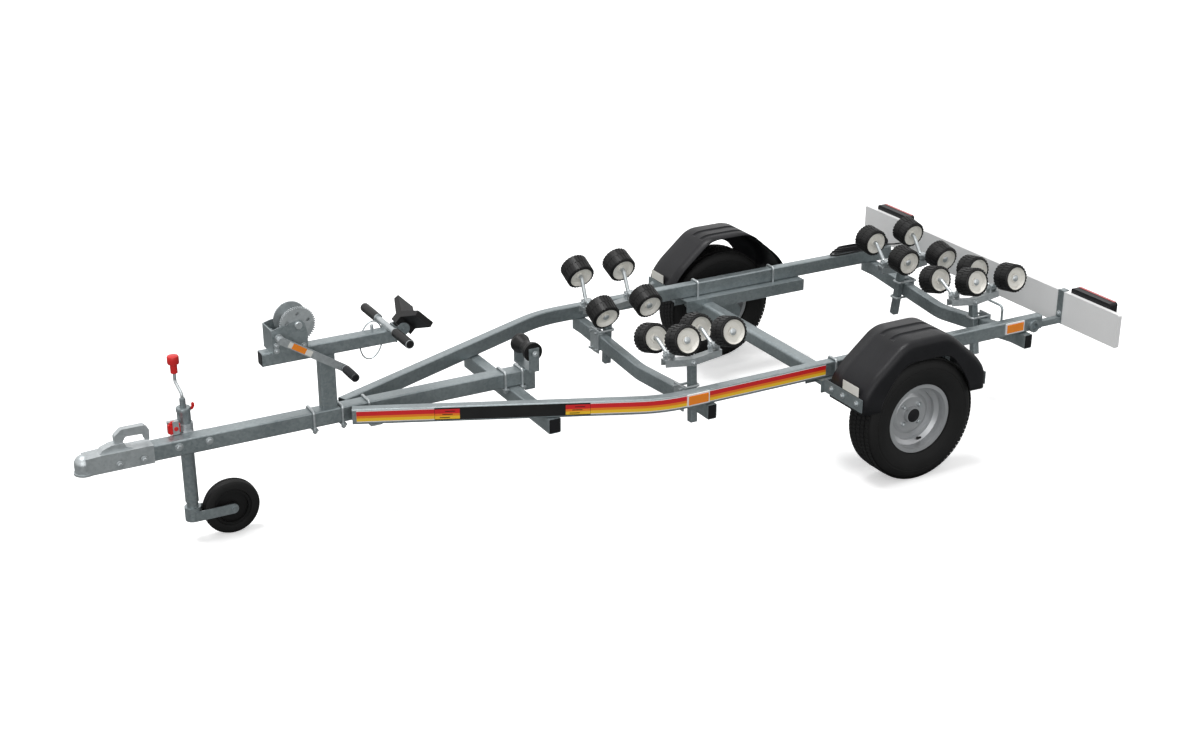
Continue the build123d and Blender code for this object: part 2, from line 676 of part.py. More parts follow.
with BuildPart() as jockey_outer_tube:
    rod((jockey_x, jockey_y, jockey_outer_bottom), (jockey_x, jockey_y, jockey_outer_top), jockey_outer_radius)
    rod((jockey_x, jockey_y, jockey_outer_bottom - 1), (jockey_x, jockey_y, jockey_outer_top - 8),
        jockey_inner_radius + jockey_fit, mode=Mode.SUBTRACT)
    stem_top = jockey_outer_top + jockey_stem_rise
    rod((jockey_x, jockey_y, jockey_outer_top), (jockey_x, jockey_y, stem_top), jockey_stem_radius)
    rod((jockey_x, jockey_y, jockey_outer_top - 20), (jockey_x, jockey_y, stem_top + 1), jockey_crank_radius,
        mode=Mode.SUBTRACT)
save(jockey_outer_tube, "jockey_outer_tube")

hand_x, hand_y = jockey_x + jockey_crank_throw[0], jockey_y + jockey_crank_throw[1]
knob_bottom = jockey_knob_top - jockey_knob_length
neck_bottom = knob_bottom - jockey_neck_length
with BuildPart() as jockey_crank:
    bent_rod(((jockey_x, jockey_y, jockey_outer_top - 20),
              (jockey_x, jockey_y, jockey_outer_top + jockey_crank_rise),
              (hand_x, hand_y, neck_bottom - jockey_neck_length), (hand_x, hand_y, knob_bottom)),
             jockey_crank_radius - pin_fit, jockey_crank_bend)
    rod((hand_x, hand_y, neck_bottom), (hand_x, hand_y, knob_bottom), jockey_neck_radius)
    rod((hand_x, hand_y, knob_bottom), (hand_x, hand_y, jockey_knob_top), jockey_knob_radius)
save(jockey_crank, "jockey_crank")

with BuildPart() as jockey_inner_tube:
    rod((jockey_x, jockey_y, jockey_inner_bottom), (jockey_x, jockey_y, jockey_inner_top), jockey_inner_radius)
    rod((jockey_x, jockey_y, jockey_inner_bottom + 8), (jockey_x, jockey_y, jockey_inner_top + 1),
        jockey_inner_radius - 2.5, mode=Mode.SUBTRACT)
save(jockey_inner_tube, "jockey_inner_tube")

arm_y = jockey_wheel_width / 2 + fork_clearance
with BuildPart() as jockey_fork:
    rod((jockey_x, jockey_y, jockey_inner_bottom - 8), (jockey_x, jockey_y, fork_collar_top), fork_collar_radius)
    for sign in (-1, 1):
        low, high = sorted((jockey_y + sign * arm_y, jockey_y + sign * (arm_y + fork_arm_thickness)))
        block((jockey_x, jockey_axle_x), (low, high),
              (jockey_wheel_radius - fork_arm_height / 2, jockey_wheel_radius + fork_arm_height / 2))
        rod((jockey_axle_x, low, jockey_wheel_radius), (jockey_axle_x, high, jockey_wheel_radius),
            fork_arm_height / 2)
    rod((jockey_x, jockey_y, jockey_inner_bottom - collar_gap), (jockey_x, jockey_y, fork_collar_top + 1),
        jockey_inner_radius + jockey_fit, mode=Mode.SUBTRACT)
    axle_half = arm_y + fork_arm_thickness + 7
    rod((jockey_axle_x, jockey_y - axle_half, jockey_wheel_radius),
        (jockey_axle_x, jockey_y + axle_half, jockey_wheel_radius), jockey_axle_radius)
save(jockey_fork, "jockey_fork")

half = jockey_wheel_width / 2
jockey_axis = Axis((jockey_axle_x, 0, jockey_wheel_radius), (0, 1, 0))
jockey_plane = Plane(origin=(jockey_axle_x, jockey_y, jockey_wheel_radius), x_dir=(0, 0, 1), z_dir=(-1, 0, 0))
rim_inside = jockey_rim_radius - jockey_rim_edge
with BuildPart() as jockey_rim:
    with BuildSketch(jockey_plane):
        Polygon(*[(r, v) for r, v in (
            (jockey_axle_radius + jockey_fit, -half - 2), (jockey_hub_radius, -half - 2),
            (jockey_hub_radius, -jockey_web_half), (rim_inside, -jockey_web_half),
            (rim_inside, jockey_web_half - half), (jockey_rim_radius, jockey_web_half - half),
            (jockey_rim_radius, half - jockey_web_half), (rim_inside, half - jockey_web_half),
            (rim_inside, jockey_web_half), (jockey_hub_radius, jockey_web_half), (jockey_hub_radius, half + 2),
            (jockey_axle_radius + jockey_fit, half + 2))], align=None)
    revolve(axis=jockey_axis)
save(jockey_rim, "jockey_rim")

with BuildPart() as jockey_tyre:
    with BuildSketch(jockey_plane):
        with Locations(((jockey_rim_radius + collar_gap + jockey_wheel_radius) / 2, 0)):
            RectangleRounded(jockey_wheel_radius - jockey_rim_radius - collar_gap, jockey_wheel_width,
                             jockey_tyre_round)
    revolve(axis=jockey_axis)
save(jockey_tyre, "jockey_tyre")

# ---------------------------------------------------------------- winch post, beam and bow rest
with BuildPart() as winch_post:
    with BuildSketch(Plane.XY.offset(frame_top)):
        with Locations((along(post_station), 0)):
            RectangleRounded(post_length, post_width, 2 * tube_wall)
            RectangleRounded(post_length - 2 * tube_wall, post_width - 2 * tube_wall, tube_wall,
                             mode=Mode.SUBTRACT)
    extrude(amount=beam_bottom - frame_top)
    with BuildSketch(Plane.YZ.offset(along(beam_front))):
        with Locations((0, beam_bottom + beam_height / 2)):
            RectangleRounded(beam_width, beam_height, 2 * tube_wall)
            RectangleRounded(beam_width - 2 * tube_wall, beam_height - 2 * tube_wall, tube_wall,
                             mode=Mode.SUBTRACT)
    extrude(amount=beam_rear - beam_front)
    hub_x, hub_z = along(beam_rear) + bow_hub_reach, beam_top - bow_hub_drop
    block((along(beam_rear), along(beam_rear) + bow_plate),
          (-bow_hub_half - bow_plate, bow_hub_half + bow_plate), (beam_bottom, beam_top + bow_plate_rise / 2))
    for sign in (-1, 1):
        low, high = sorted((sign * bow_hub_half, sign * (bow_hub_half + bow_plate)))
        block((along(beam_rear), hub_x), (low, high), (beam_bottom + bow_disc_radius / 2, beam_top + bow_plate_rise / 2))
        rod((hub_x, low, hub_z), (hub_x, high, hub_z), bow_disc_radius)
    bolt_half = bow_hub_half + bow_plate + bolt_head
    rod((hub_x, -bolt_half, hub_z), (hub_x, bolt_half, hub_z), bow_bolt_radius)
save(winch_post, "winch_post")

winch_mid = along((crank_shaft_station + drum_station) / 2 - 6)
winch_front = winch_mid + winch_line[0][0]
winch_high = beam_top + max(rise for reach, rise in winch_line)
with BuildPart() as winch_frame:
    with BuildSketch(Plane.XZ.offset(-winch_half_width)):
        with Locations((winch_mid, beam_top)):
            Polygon(*winch_line, align=None)
    extrude(amount=2 * winch_half_width)
    block((winch_front + winch_plate, winch_mid + max(reach for reach, rise in winch_line) + 1),
          (winch_plate - winch_half_width, winch_half_width - winch_plate),
          (beam_top + winch_plate, winch_high + 1), mode=Mode.SUBTRACT)
    for station, height, radius in ((drum_station, drum_height, drum_axle_radius),
                                    (crank_shaft_station, crank_shaft_height, crank_shaft_radius)):
        rod((along(station), -winch_half_width - 1, height), (along(station), winch_half_width + 1, height),
            radius + pin_fit, mode=Mode.SUBTRACT)
save(winch_frame, "winch_frame")

inside = winch_half_width - winch_plate - end_float
with BuildPart() as winch_drum:
    drum = along(drum_station)
    reach = winch_half_width + axle_nut_length
    flange = gear_thickness + flange_gap - inside
    rod((drum, -reach, drum_height), (drum, reach, drum_height), drum_axle_radius)
    rod((drum, -inside, drum_height), (drum, inside, drum_height), drum_hub_radius)
    rod((drum, -inside, drum_height), (drum, gear_thickness - inside, drum_height),
        gear_pitch_radius - tooth_relief)
    rod((drum, flange, drum_height), (drum, flange + flange_thickness, drum_height), drum_flange_radius)
    rod((drum, inside - flange_thickness, drum_height), (drum, inside, drum_height), drum_flange_radius)
    for end in (-reach, winch_half_width + collar_gap):
        rod((drum, end, drum_height), (drum, end + axle_nut_length - collar_gap, drum_height), axle_nut_radius)
save(winch_drum, "winch_drum")

shaft = (along(crank_shaft_station), crank_shaft_height)
hand = (shaft[0] + crank_reach * cos(radians(crank_angle)), shaft[1] + crank_reach * sin(radians(crank_angle)))
crank_y = -winch_half_width - crank_standoff
with BuildPart() as winch_crank:
    rod((shaft[0], crank_y, shaft[1]), (shaft[0], winch_half_width + bolt_head, shaft[1]), crank_shaft_radius)
    rod((shaft[0], -inside, shaft[1]), (shaft[0], pinion_length - inside, shaft[1]),
        pinion_radius - tooth_relief)
    rod((shaft[0], crank_y + 10, shaft[1]), (shaft[0], crank_y - axle_nut_length, shaft[1]), axle_nut_radius)
    with BuildSketch(Plane.XZ.offset(-crank_y)):
        with Locations(((shaft[0] + hand[0]) / 2, (shaft[1] + hand[1]) / 2)):
            SlotCenterToCenter(crank_reach, crank_arm_width, rotation=crank_angle)
    extrude(amount=crank_arm_thickness)
    grip_start = crank_y - crank_arm_thickness - bolt_head
    rod((hand[0], crank_y - crank_arm_thickness, hand[1]), (hand[0], grip_start - crank_grip_length - 2, hand[1]),
        crank_pin_radius)
    rod((hand[0], grip_start, hand[1]), (hand[0], grip_start - crank_grip_length, hand[1]), crank_grip_radius)
save(winch_crank, "winch_crank")

with BuildPart() as bow_handle:
    bar_x = along(bow_bar_station)
    rod((bar_x, -bow_bar_half, bow_bar_height), (bar_x, bow_bar_half, bow_bar_height), bow_bar_radius)
    for sign in (-1, 1):
        rod((bar_x, sign * bow_bar_half, bow_bar_height),
            (bar_x, sign * (bow_bar_half - bow_grip_length), bow_bar_height), bow_grip_radius)
    block((bar_x - 12, bar_x + 12), (-beam_width / 2, beam_width / 2), (beam_top, bow_bar_height))
save(bow_handle, "bow_handle")

with BuildPart() as bow_block:
    half = bow_hub_half - 1
    rod((hub_x, -half, hub_z), (hub_x, half, hub_z), bow_hub_radius)
    tilted = Plane(origin=(hub_x, 0, hub_z), x_dir=(0, -1, 0), z_dir=(-1, 0, 1))
    tip = (bow_wing_reach - bow_block_thickness / 3, bow_wing_rise + bow_block_thickness)
    with BuildSketch(tilted.offset(-bow_block_length / 2)):
        Polygon((-half, 0), (half, 0), (half, bow_neck), (bow_wing_reach, bow_wing_rise), tip,
                (0, bow_neck + bow_block_thickness), (-tip[0], tip[1]),
                (-bow_wing_reach, bow_wing_rise), (-half, bow_neck), align=None)
    extrude(amount=bow_block_length)
    rod((hub_x, -half - 1, hub_z), (hub_x, half + 1, hub_z), bow_bolt_radius + pin_fit, mode=Mode.SUBTRACT)
save(bow_block, "bow_block")

# ---------------------------------------------------------------- keel roller and its stem
keel_x = along(keel_station)
ear_y = keel_length / 2 + end_float
with BuildPart() as keel_bracket:
    stem = (keel_x - keel_stem_length / 2, keel_x + keel_stem_length / 2)
    block(stem, (-drawbar_width / 2, drawbar_width / 2), (keel_stem_bottom, frame_top + bracket_plate))
    block((stem[0] + tube_wall, stem[1] - tube_wall),
          (tube_wall - drawbar_width / 2, drawbar_width / 2 - tube_wall), (keel_stem_bottom - 1, frame_top),
          mode=Mode.SUBTRACT)
    block(stem, (-ear_y - bracket_plate, ear_y + bracket_plate), (frame_top, frame_top + bracket_plate))
    for sign in (-1, 1):
        low, high = sorted((sign * ear_y, sign * (ear_y + bracket_plate)))
        block(stem, (low, high), (frame_top, keel_height + 18))
    rod((keel_x, -ear_y - bracket_plate - 8, keel_height), (keel_x, ear_y + bracket_plate + 8, keel_height),
        keel_pin_radius)
save(keel_bracket, "keel_bracket")

with BuildPart() as keel_roller:
    with BuildSketch(Plane(origin=(keel_x, 0, keel_height), x_dir=(0, 0, 1), z_dir=(-1, 0, 0))):
        Polygon((keel_pin_radius + pin_fit, -keel_length / 2), (keel_end_radius, -keel_length / 2),
                (keel_end_radius, 14 - keel_length / 2), (keel_waist_radius, -8), (keel_waist_radius, 8),
                (keel_end_radius, keel_length / 2 - 14), (keel_end_radius, keel_length / 2),
                (keel_pin_radius + pin_fit, keel_length / 2), align=None)
    revolve(axis=Axis((keel_x, 0, keel_height), (0, 1, 0)))
save(keel_roller, "keel_roller")

# ---------------------------------------------------------------- roller cradles
ENDS = (("fore", -1), ("aft", 1))


def leaning_plane(x, y, z, side, lean):
    """Plane across the trailer whose Z leans inwards by an angle; its X runs rearwards."""
    return Plane(origin=(x, y, z), x_dir=(1, 0, 0),
                 z_dir=(0, -side * sin(radians(lean)), cos(radians(lean))))


def cradle_plane(row, side):
    """Plane at a cradle beam's pivot, square to its post."""
    name, station, overhang, fall, post_side, foot, pivot_y, pivot_z, lean = row
    post_x = along(station) + post_side * (cross_width / 2 + cradle_post_gap + cradle_post_size / 2)
    return leaning_plane(post_x, side * pivot_y, pivot_z, side, lean)


def rocker_plane(row, side_name, side, end_index, end):
    """Plane at a rocker's bolt, its Z square to the roller axis."""
    bolt = cradle_plane(row, side).from_local_coords((end * rocker_offset, 0, rocker_height))
    return leaning_plane(bolt.X, bolt.Y, bolt.Z, side, ROCKER_TILTS[row[0], side_name][end_index])


def local_rod(plane, start, end, radius, mode=Mode.ADD):
    """Cylinder between two points of a plane's own frame."""
    rod(tuple(plane.from_local_coords(start)), tuple(plane.from_local_coords(end)), radius, mode)


def local_prism(plane, corners, low, high, mode=Mode.ADD):
    """Prism of an XZ outline in a plane's own frame, from y = low to y = high."""
    side_plane = Plane(origin=plane.from_local_coords((0, high, 0)), x_dir=plane.x_dir,
                       z_dir=-plane.y_dir)
    with BuildSketch(side_plane) as outline:
        Polygon(*corners, align=None)
    extrude(outline.sketch, amount=high - low, mode=mode)


with BuildPart() as cradle_posts:
    for row in CROSSMEMBERS:
        for side_name, side in SIDES:
            plane = cradle_plane(row, side)
            down = (row[7] - row[5]) / cos(radians(row[8]))
            foot = Plane(origin=plane.from_local_coords((0, 0, -down)), x_dir=(1, 0, 0), z_dir=plane.z_dir)
            with BuildSketch(foot):
                RectangleRounded(cradle_post_size, cradle_post_size, 4)
                RectangleRounded(cradle_post_size - 5, cradle_post_size - 5, 2, mode=Mode.SUBTRACT)
            extrude(amount=down + 8)
            pin_half = cradle_post_size / 2 + cradle_beam_slack + cradle_beam_wall + 6
            local_rod(plane, (0, -pin_half, 0), (0, pin_half, 0), cradle_pin_radius)
save(cradle_posts, "cradle_posts")

with BuildPart() as cradle_clamps:
    for row in CROSSMEMBERS:
        name, station, overhang, fall, post_side, foot, pivot_y, pivot_z, lean = row
        for side_name, side in SIDES:
            plane = cradle_plane(row, side)
            post_x = plane.origin.X
            far_x = along(station) - post_side * (cross_width / 2)
            near_y = side * (pivot_y + (pivot_z - frame_bottom + fall) * tan(radians(lean)))
            top_z = frame_bottom - fall * (1 - abs(near_y) / (rail_y - rail_width))
            heights = (top_z + u_bolt_radius + 3, top_z - cross_height - u_bolt_radius - 3)
            wrap_x = post_x + post_side * (cradle_post_size / 2 + u_bolt_radius + bolt_gap)
            leg = ((cradle_post_size / 2 + u_bolt_radius) / cos(radians(lean))
                   + u_bolt_radius * tan(radians(lean)) + bolt_gap)
            for height in heights:
                mid_y = side * (pivot_y + (pivot_z - height) * tan(radians(lean)))
                bent_rod(((far_x - post_side * 18, mid_y - leg, height), (wrap_x, mid_y - leg, height),
                          (wrap_x, mid_y + leg, height), (far_x - post_side * 18, mid_y + leg, height)),
                         u_bolt_radius, u_bolt_radius + 4)
            plate_x = sorted((far_x, far_x - post_side * clamp_plate))
            block(plate_x, (near_y - 34, near_y + 34), (heights[1] - 12, heights[0] + 12))
save(cradle_clamps, "cradle_clamps")

beam_outline = [(-cradle_beam_half, cradle_beam_rise), (0, 0), (cradle_beam_half, cradle_beam_rise)]
for row in CROSSMEMBERS:
    for side_name, side in SIDES:
        plane = cradle_plane(row, side)
        inner = cradle_post_size / 2 + cradle_beam_slack
        outer = inner + cradle_beam_wall
        low_edge = [(x, z + cradle_beam_top - cradle_beam_depth) for x, z in beam_outline]
        web_low = [(x * 1.01, z + cradle_beam_top - cradle_beam_wall) for x, z in beam_outline]
        with BuildPart() as cradle_beam:
            local_prism(plane, [(x, z + cradle_beam_top) for x, z in beam_outline] + low_edge[::-1],
                        -outer, outer)
            local_prism(plane, web_low + [(x * 1.01, z - 5) for x, z in low_edge[::-1]], -inner, inner,
                        mode=Mode.SUBTRACT)
            for end_name, end in ENDS:
                for reach in (rocker_offset - rocker_boss_length / 2 - end_float - 5,
                              rocker_offset + rocker_boss_length / 2 + end_float):
                    ear = [(end * reach, cradle_beam_top), (end * (reach + 5), cradle_beam_top),
                           (end * (reach + 5), rocker_height + 10), (end * reach, rocker_height + 10)]
                    local_prism(plane, ear, -14, 14)
                local_rod(plane, (end * (rocker_offset - 26), 0, rocker_height),
                          (end * (rocker_offset + 26), 0, rocker_height), rocker_bolt_radius)
            local_rod(plane, (0, -outer - 1, 0), (0, outer + 1, 0), cradle_pin_radius + pin_fit,
                      mode=Mode.SUBTRACT)
        save(cradle_beam, f"cradle_beam_{row[0]}_{side_name}")

        for end_index, (end_name, end) in enumerate(ENDS):
            plane = rocker_plane(row, side_name, side, end_index, end)
            bend_y = roller_spacing / 2 - roller_width / 2 - 4
            tip_y = roller_spacing / 2 + roller_width / 2 - roller_recess + 8
            with BuildPart() as rocker:
                bent_rod([tuple(plane.from_local_coords((0, y, z))) for y, z in (
                    (-tip_y, roller_lift), (-bend_y, roller_lift), (-14, 4), (14, 4),
                    (bend_y, roller_lift), (tip_y, roller_lift))], rocker_rod_radius, rocker_bend_radius)
                local_rod(plane, (-rocker_boss_length / 2, 0, 0), (rocker_boss_length / 2, 0, 0),
                          rocker_boss_radius)
                local_rod(plane, (-rocker_boss_length, 0, 0), (rocker_boss_length, 0, 0),
                          rocker_bolt_radius + pin_fit, mode=Mode.SUBTRACT)
            save(rocker, f"rocker_{row[0]}_{side_name}_{end_name}")

            with BuildPart() as rollers:
                bore = rocker_rod_radius + pin_fit
                half = roller_width / 2
                axis_point = plane.from_local_coords((0, 0, roller_lift))
                # local X of this sketch is the radius, local Y runs along the roller axis
                section = Plane(origin=axis_point, x_dir=plane.z_dir, z_dir=plane.x_dir * -1)
                for centre in (-roller_spacing / 2, roller_spacing / 2):
                    with BuildSketch(section):
                        Polygon(*[(r, centre + v) for r, v in (
                            (bore, roller_recess - half), (roller_hub_radius - 4, roller_recess - half),
                            (roller_hub_radius, -half), (roller_radius - 5, -half),
                            (roller_radius, 8 - half), (roller_radius, half - 8), (roller_radius - 5, half),
                            (roller_hub_radius, half), (roller_hub_radius - 4, half - roller_recess),
                            (bore, half - roller_recess))], align=None)
                revolve(axis=Axis(axis_point, plane.y_dir))
            save(rollers, f"rollers_{row[0]}_{side_name}_{end_name}")

# ---------------------------------------------------------------- light board, lamps, arms, reflectors
# lead's route from the hank to the gland on the board: station, y, height
lead_route = ((hank_rear, 493.0, 465.0), (3797.0, 493.0, 465.0), (3835.0, 489.0, 460.0),
              (3872.0, 481.0, 459.0), (3908.0, 472.0, 463.0),
              (board_station - gland_length, 472.0, 463.0))
board_x = along(board_station)
with BuildPart() as light_board:
    block((board_x, board_x + board_thickness), (-board_half_width, board_half_width),
          (board_top - board_height, board_top))
    fillet(light_board.edges().filter_by(Axis.X), 8)
    pad_z = board_top - board_height / 2
    block((board_x + board_thickness, board_x + board_thickness + plate_pad),
          (-plate_pad_size[0] / 2, plate_pad_size[0] / 2),
          (pad_z - plate_pad_size[1] / 2, pad_z + plate_pad_size[1] / 2))
    gland_at = lead_route[-1]
    rod((board_x - gland_length, gland_at[1], gland_at[2]), (board_x, gland_at[1], gland_at[2]), gland_radius)
save(light_board, "light_board")

with BuildPart() as rear_lamps:
    lamp_z = board_top + lamp_rise - lamp_height / 2
    block((board_x + board_thickness, board_x + board_thickness + lamp_depth),
          (lamp_inner_y, lamp_inner_y + lamp_length), (lamp_z - lamp_height / 2, lamp_z + lamp_height / 2))
    fillet(rear_lamps.edges().filter_by(Axis.X), 10)
    mirror(about=Plane.XZ)
save(rear_lamps, "rear_lamps")

arm_floor = frame_bottom + tube_wall
with BuildPart() as board_arms:
    block((along(rail_rear) - arm_inside, board_x - strap_thickness),
          (rail_y - arm_size / 2, rail_y + arm_size / 2), (arm_floor, arm_floor + arm_size))
    block((board_x - strap_thickness, board_x), (rail_y - strap_width / 2, rail_y + strap_width / 2),
          (board_top - board_height + 6, board_top + strap_thickness))
    block((board_x - strap_thickness, board_x + board_thickness + 10),
          (rail_y - strap_width / 2, rail_y + strap_width / 2), (board_top, board_top + strap_thickness))
    mirror(about=Plane.XZ)
save(board_arms, "board_arms")

with BuildPart() as reflectors:
    for station in reflector_stations:
        block((along(station) - reflector_length / 2, along(station) + reflector_length / 2),
              (frame_half_width, frame_half_width + reflector_depth),
              (reflector_bottom, reflector_bottom + reflector_height))
    mirror(about=Plane.XZ)
save(reflectors, "reflectors")

# ---------------------------------------------------------------- lighting lead
hank_x = (along(hank_front), along(hank_rear))
lay_z = frame_top + lay_gap
with BuildPart() as lead_hank:
    with BuildSketch(Plane.XZ.offset(-rail_y - hank_width / 2)):
        Polygon((hank_x[0], lay_z), (hank_x[1], lay_z), (hank_x[1], lay_z + hank_rear_height * 0.8),
                (hank_x[1] - 60, lay_z + hank_rear_height), (hank_x[0], lay_z + hank_front_height),
                align=None)
    extrude(amount=hank_width)
    fillet(lead_hank.edges().filter_by(Axis.Y), 6)
save(lead_hank, "lead_hank")

with BuildPart() as lead_plug:
    rod((hank_x[1], rail_y + plug_offset, lay_z + plug_radius),
        (hank_x[1] + plug_length, rail_y + plug_offset, lay_z + plug_radius), plug_radius)
save(lead_plug, "lead_plug")

route = [Vector(along(station), y, height) for station, y, height in lead_route]
turns = [(route[i] - route[i - 1]).get_angle(route[i + 1] - route[i]) for i in range(1, len(route) - 1)]
runs = [(b - a).length for a, b in zip(route, route[1:])]
bends = [0.45 * min(runs[i], runs[i + 1]) / tan(radians(turn / 2)) for i, turn in enumerate(turns)]
print("lead bend radii", [round(bend) for bend in bends])
with BuildPart() as lighting_lead:
    with BuildLine() as lead_path:
        FilletPolyline(*route, radius=bends)
    with BuildSketch(Plane(origin=lead_path.line @ 0, z_dir=lead_path.line % 0)):
        Circle(lead_radius)
    sweep(path=lead_path.line)
save(lighting_lead, "lighting_lead")
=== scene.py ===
"""Dresses the boat trailer: finishes, tyres, rollers, guards, stripes, lamps, lead and bolts."""
import json
import math

import bmesh
import bpy
from mathutils import Matrix, Vector

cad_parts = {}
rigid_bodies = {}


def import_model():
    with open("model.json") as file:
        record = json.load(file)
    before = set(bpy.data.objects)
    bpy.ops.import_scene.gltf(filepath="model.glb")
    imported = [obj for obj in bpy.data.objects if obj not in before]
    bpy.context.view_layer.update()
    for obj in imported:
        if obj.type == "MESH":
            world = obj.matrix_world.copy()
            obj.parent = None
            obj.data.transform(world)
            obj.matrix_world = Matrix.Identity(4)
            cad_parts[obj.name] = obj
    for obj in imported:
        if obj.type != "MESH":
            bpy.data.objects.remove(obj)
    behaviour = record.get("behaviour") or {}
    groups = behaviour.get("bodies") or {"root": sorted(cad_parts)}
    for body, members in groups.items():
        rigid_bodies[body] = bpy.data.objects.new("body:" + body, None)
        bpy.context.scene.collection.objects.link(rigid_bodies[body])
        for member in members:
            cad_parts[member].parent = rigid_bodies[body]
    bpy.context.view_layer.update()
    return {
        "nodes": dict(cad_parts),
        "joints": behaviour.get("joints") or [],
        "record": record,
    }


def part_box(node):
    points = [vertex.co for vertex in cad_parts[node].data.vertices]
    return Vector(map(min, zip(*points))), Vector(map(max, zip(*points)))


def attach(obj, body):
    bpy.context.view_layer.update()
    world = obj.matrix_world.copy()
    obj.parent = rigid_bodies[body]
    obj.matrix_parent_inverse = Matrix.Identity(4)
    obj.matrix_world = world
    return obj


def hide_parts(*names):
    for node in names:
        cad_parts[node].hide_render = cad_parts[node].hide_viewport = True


bl_info = {
    "name": "Boat Trailer Dressing",
    "version": (1, 0, 0),
    "blender": (4, 5, 0),
    "location": "View3D > Sidebar > Trailer",
    "description": "Finishes and small parts of a single-axle boat trailer",
    "category": "Object",
}

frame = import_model()
NODES = frame["nodes"]
JOINTS = {joint["name"]: joint for joint in frame["joints"]}

MM = 0.001
HALF_LENGTH = 2.0055                    # coupling nose to the origin, in metres
SIDES = (("left", -1), ("right", 1))
AXLE_STATION = 3031                     # a station is a distance in mm behind the coupling's nose
CAMERA_PLACE = (-3.0846, -5.7074, 3.0676)
CAMERA_YAW, CAMERA_PITCH = 0.5018, 0.3957


def at(station, y, z):
    """Point from its distance behind the coupling's nose, its offset and its height, in mm."""
    return Vector((station * MM - HALF_LENGTH, y * MM, z * MM))


# ------------------------------------------------------------------ shader maths and finishes
class Wire:
    """A number socket that takes part in Python arithmetic."""

    def __init__(self, tree, socket):
        self.tree = tree
        self.socket = socket

    def maths(self, operation, first, second):
        """A maths node fed by sockets or plain numbers."""
        node = self.tree.nodes.new("ShaderNodeMath")
        node.operation = operation
        for slot, value in enumerate((first, second)):
            if isinstance(value, Wire):
                self.tree.links.new(value.socket, node.inputs[slot])
            else:
                node.inputs[slot].default_value = value
        return Wire(self.tree, node.outputs[0])

    def __add__(self, other):
        return self.maths("ADD", self, other)

    def __mul__(self, other):
        return self.maths("MULTIPLY", self, other)

    def __gt__(self, other):
        return self.maths("GREATER_THAN", self, other)

    __radd__ = __add__


class Finish:
    """One material, with its shader and the point on the piece that its patterns read."""

    def __init__(self, name, colour, roughness, metallic=0.0, **fixed):
        self.material = bpy.data.materials.new(name)
        self.material.use_nodes = True
        self.tree = self.material.node_tree
        self.shader = self.tree.nodes["Principled BSDF"]
        self.material.diffuse_color = (*colour, 1.0)
        self.shader.inputs["Base Color"].default_value = (*colour, 1.0)
        self.shader.inputs["Roughness"].default_value = roughness
        self.shader.inputs["Metallic"].default_value = metallic
        for socket, value in fixed.items():
            self.shader.inputs[socket.replace("_", " ")].default_value = value
        self.place = self.node("ShaderNodeTexCoord").outputs["Object"]

    def node(self, kind, settings=None, **inputs):
        """Any node: its settings first, then the values or links of its sockets."""
        node = self.tree.nodes.new(kind)
        for name, value in (settings or {}).items():
            setattr(node, name, value)
        for name, value in inputs.items():
            socket = node.inputs[name.replace("_", " ")]
            if isinstance(value, Wire):
                self.tree.links.new(value.socket, socket)
            elif isinstance(value, bpy.types.NodeSocket):
                self.tree.links.new(value, socket)
            else:
                socket.default_value = value
        return node

    def noise(self, scale, detail=4.0):
        """A cloudy pattern on the piece."""
        node = self.node("ShaderNodeTexNoise", Vector=self.place, Scale=scale, Detail=detail)
        return Wire(self.tree, node.outputs[0])

    def cells(self, scale):
        """A steady random number in each cell of a crystal pattern."""
        node = self.node("ShaderNodeTexVoronoi", Vector=self.place, Scale=scale)
        split = self.node("ShaderNodeSeparateColor", Color=node.outputs["Color"])
        return Wire(self.tree, split.outputs[0])

    def colours(self, factor, first, second, target="Base Color"):
        """Feeds a socket of the shader with two colours mixed by a factor."""
        node = self.node("ShaderNodeMix", {"data_type": "RGBA"})
        self.tree.links.new(factor.socket, node.inputs[0])
        node.inputs[6].default_value = (*first, 1.0)
        node.inputs[7].default_value = (*second, 1.0)
        self.tree.links.new(node.outputs[2], self.shader.inputs[target])
        return self

    def roughness(self, wire):
        """Feeds the shader's roughness."""
        self.tree.links.new(wire.socket, self.shader.inputs["Roughness"])
        return self

    def bump(self, height, distance, strength):
        """Feeds the shader's normal with a height pattern."""
        node = self.node("ShaderNodeBump", Height=height, Distance=distance, Strength=strength)
        self.tree.links.new(node.outputs[0], self.shader.inputs["Normal"])
        return self


def galvanised(name, dark, light):
    """Hot-dip zinc: crystal spangle, cloudy patches and a slightly rippled skin."""
    skin = Finish(name, light, 0.34, 0.65)
    spangle = skin.cells(120.0)
    cloud = skin.noise(6.0)
    skin.colours(spangle * 0.30 + cloud * 0.70, dark, light)
    skin.roughness(0.26 + spangle * 0.10 + cloud * 0.12)
    return skin.bump(skin.noise(45.0, 3.0), 0.0004, 0.35).material


def moulded(name, dark, light, roughness, grain, **fixed):
    """Moulded rubber or plastic with a fine grain and slight dust. Black ones shine less."""
    skin = Finish(name, light, roughness, **fixed)
    if max(light) < 0.1:
        skin.shader.inputs["Specular IOR Level"].default_value = 0.22
    cloud = skin.noise(14.0)
    skin.colours(cloud, dark, light)
    skin.roughness(roughness - 0.08 + cloud * 0.16)
    return skin.bump(skin.noise(grain, 5.0), 0.0004, 0.5).material


def sprayed(name, dark, light, metallic):
    """Silver or white spray paint with a trace of orange peel."""
    skin = Finish(name, light, 0.34, metallic, Coat_Weight=0.2)
    skin.colours(skin.noise(7.0), dark, light)
    skin.roughness(0.28 + skin.noise(25.0) * 0.14)
    return skin.bump(skin.noise(400.0, 2.0), 0.0002, 0.4).material


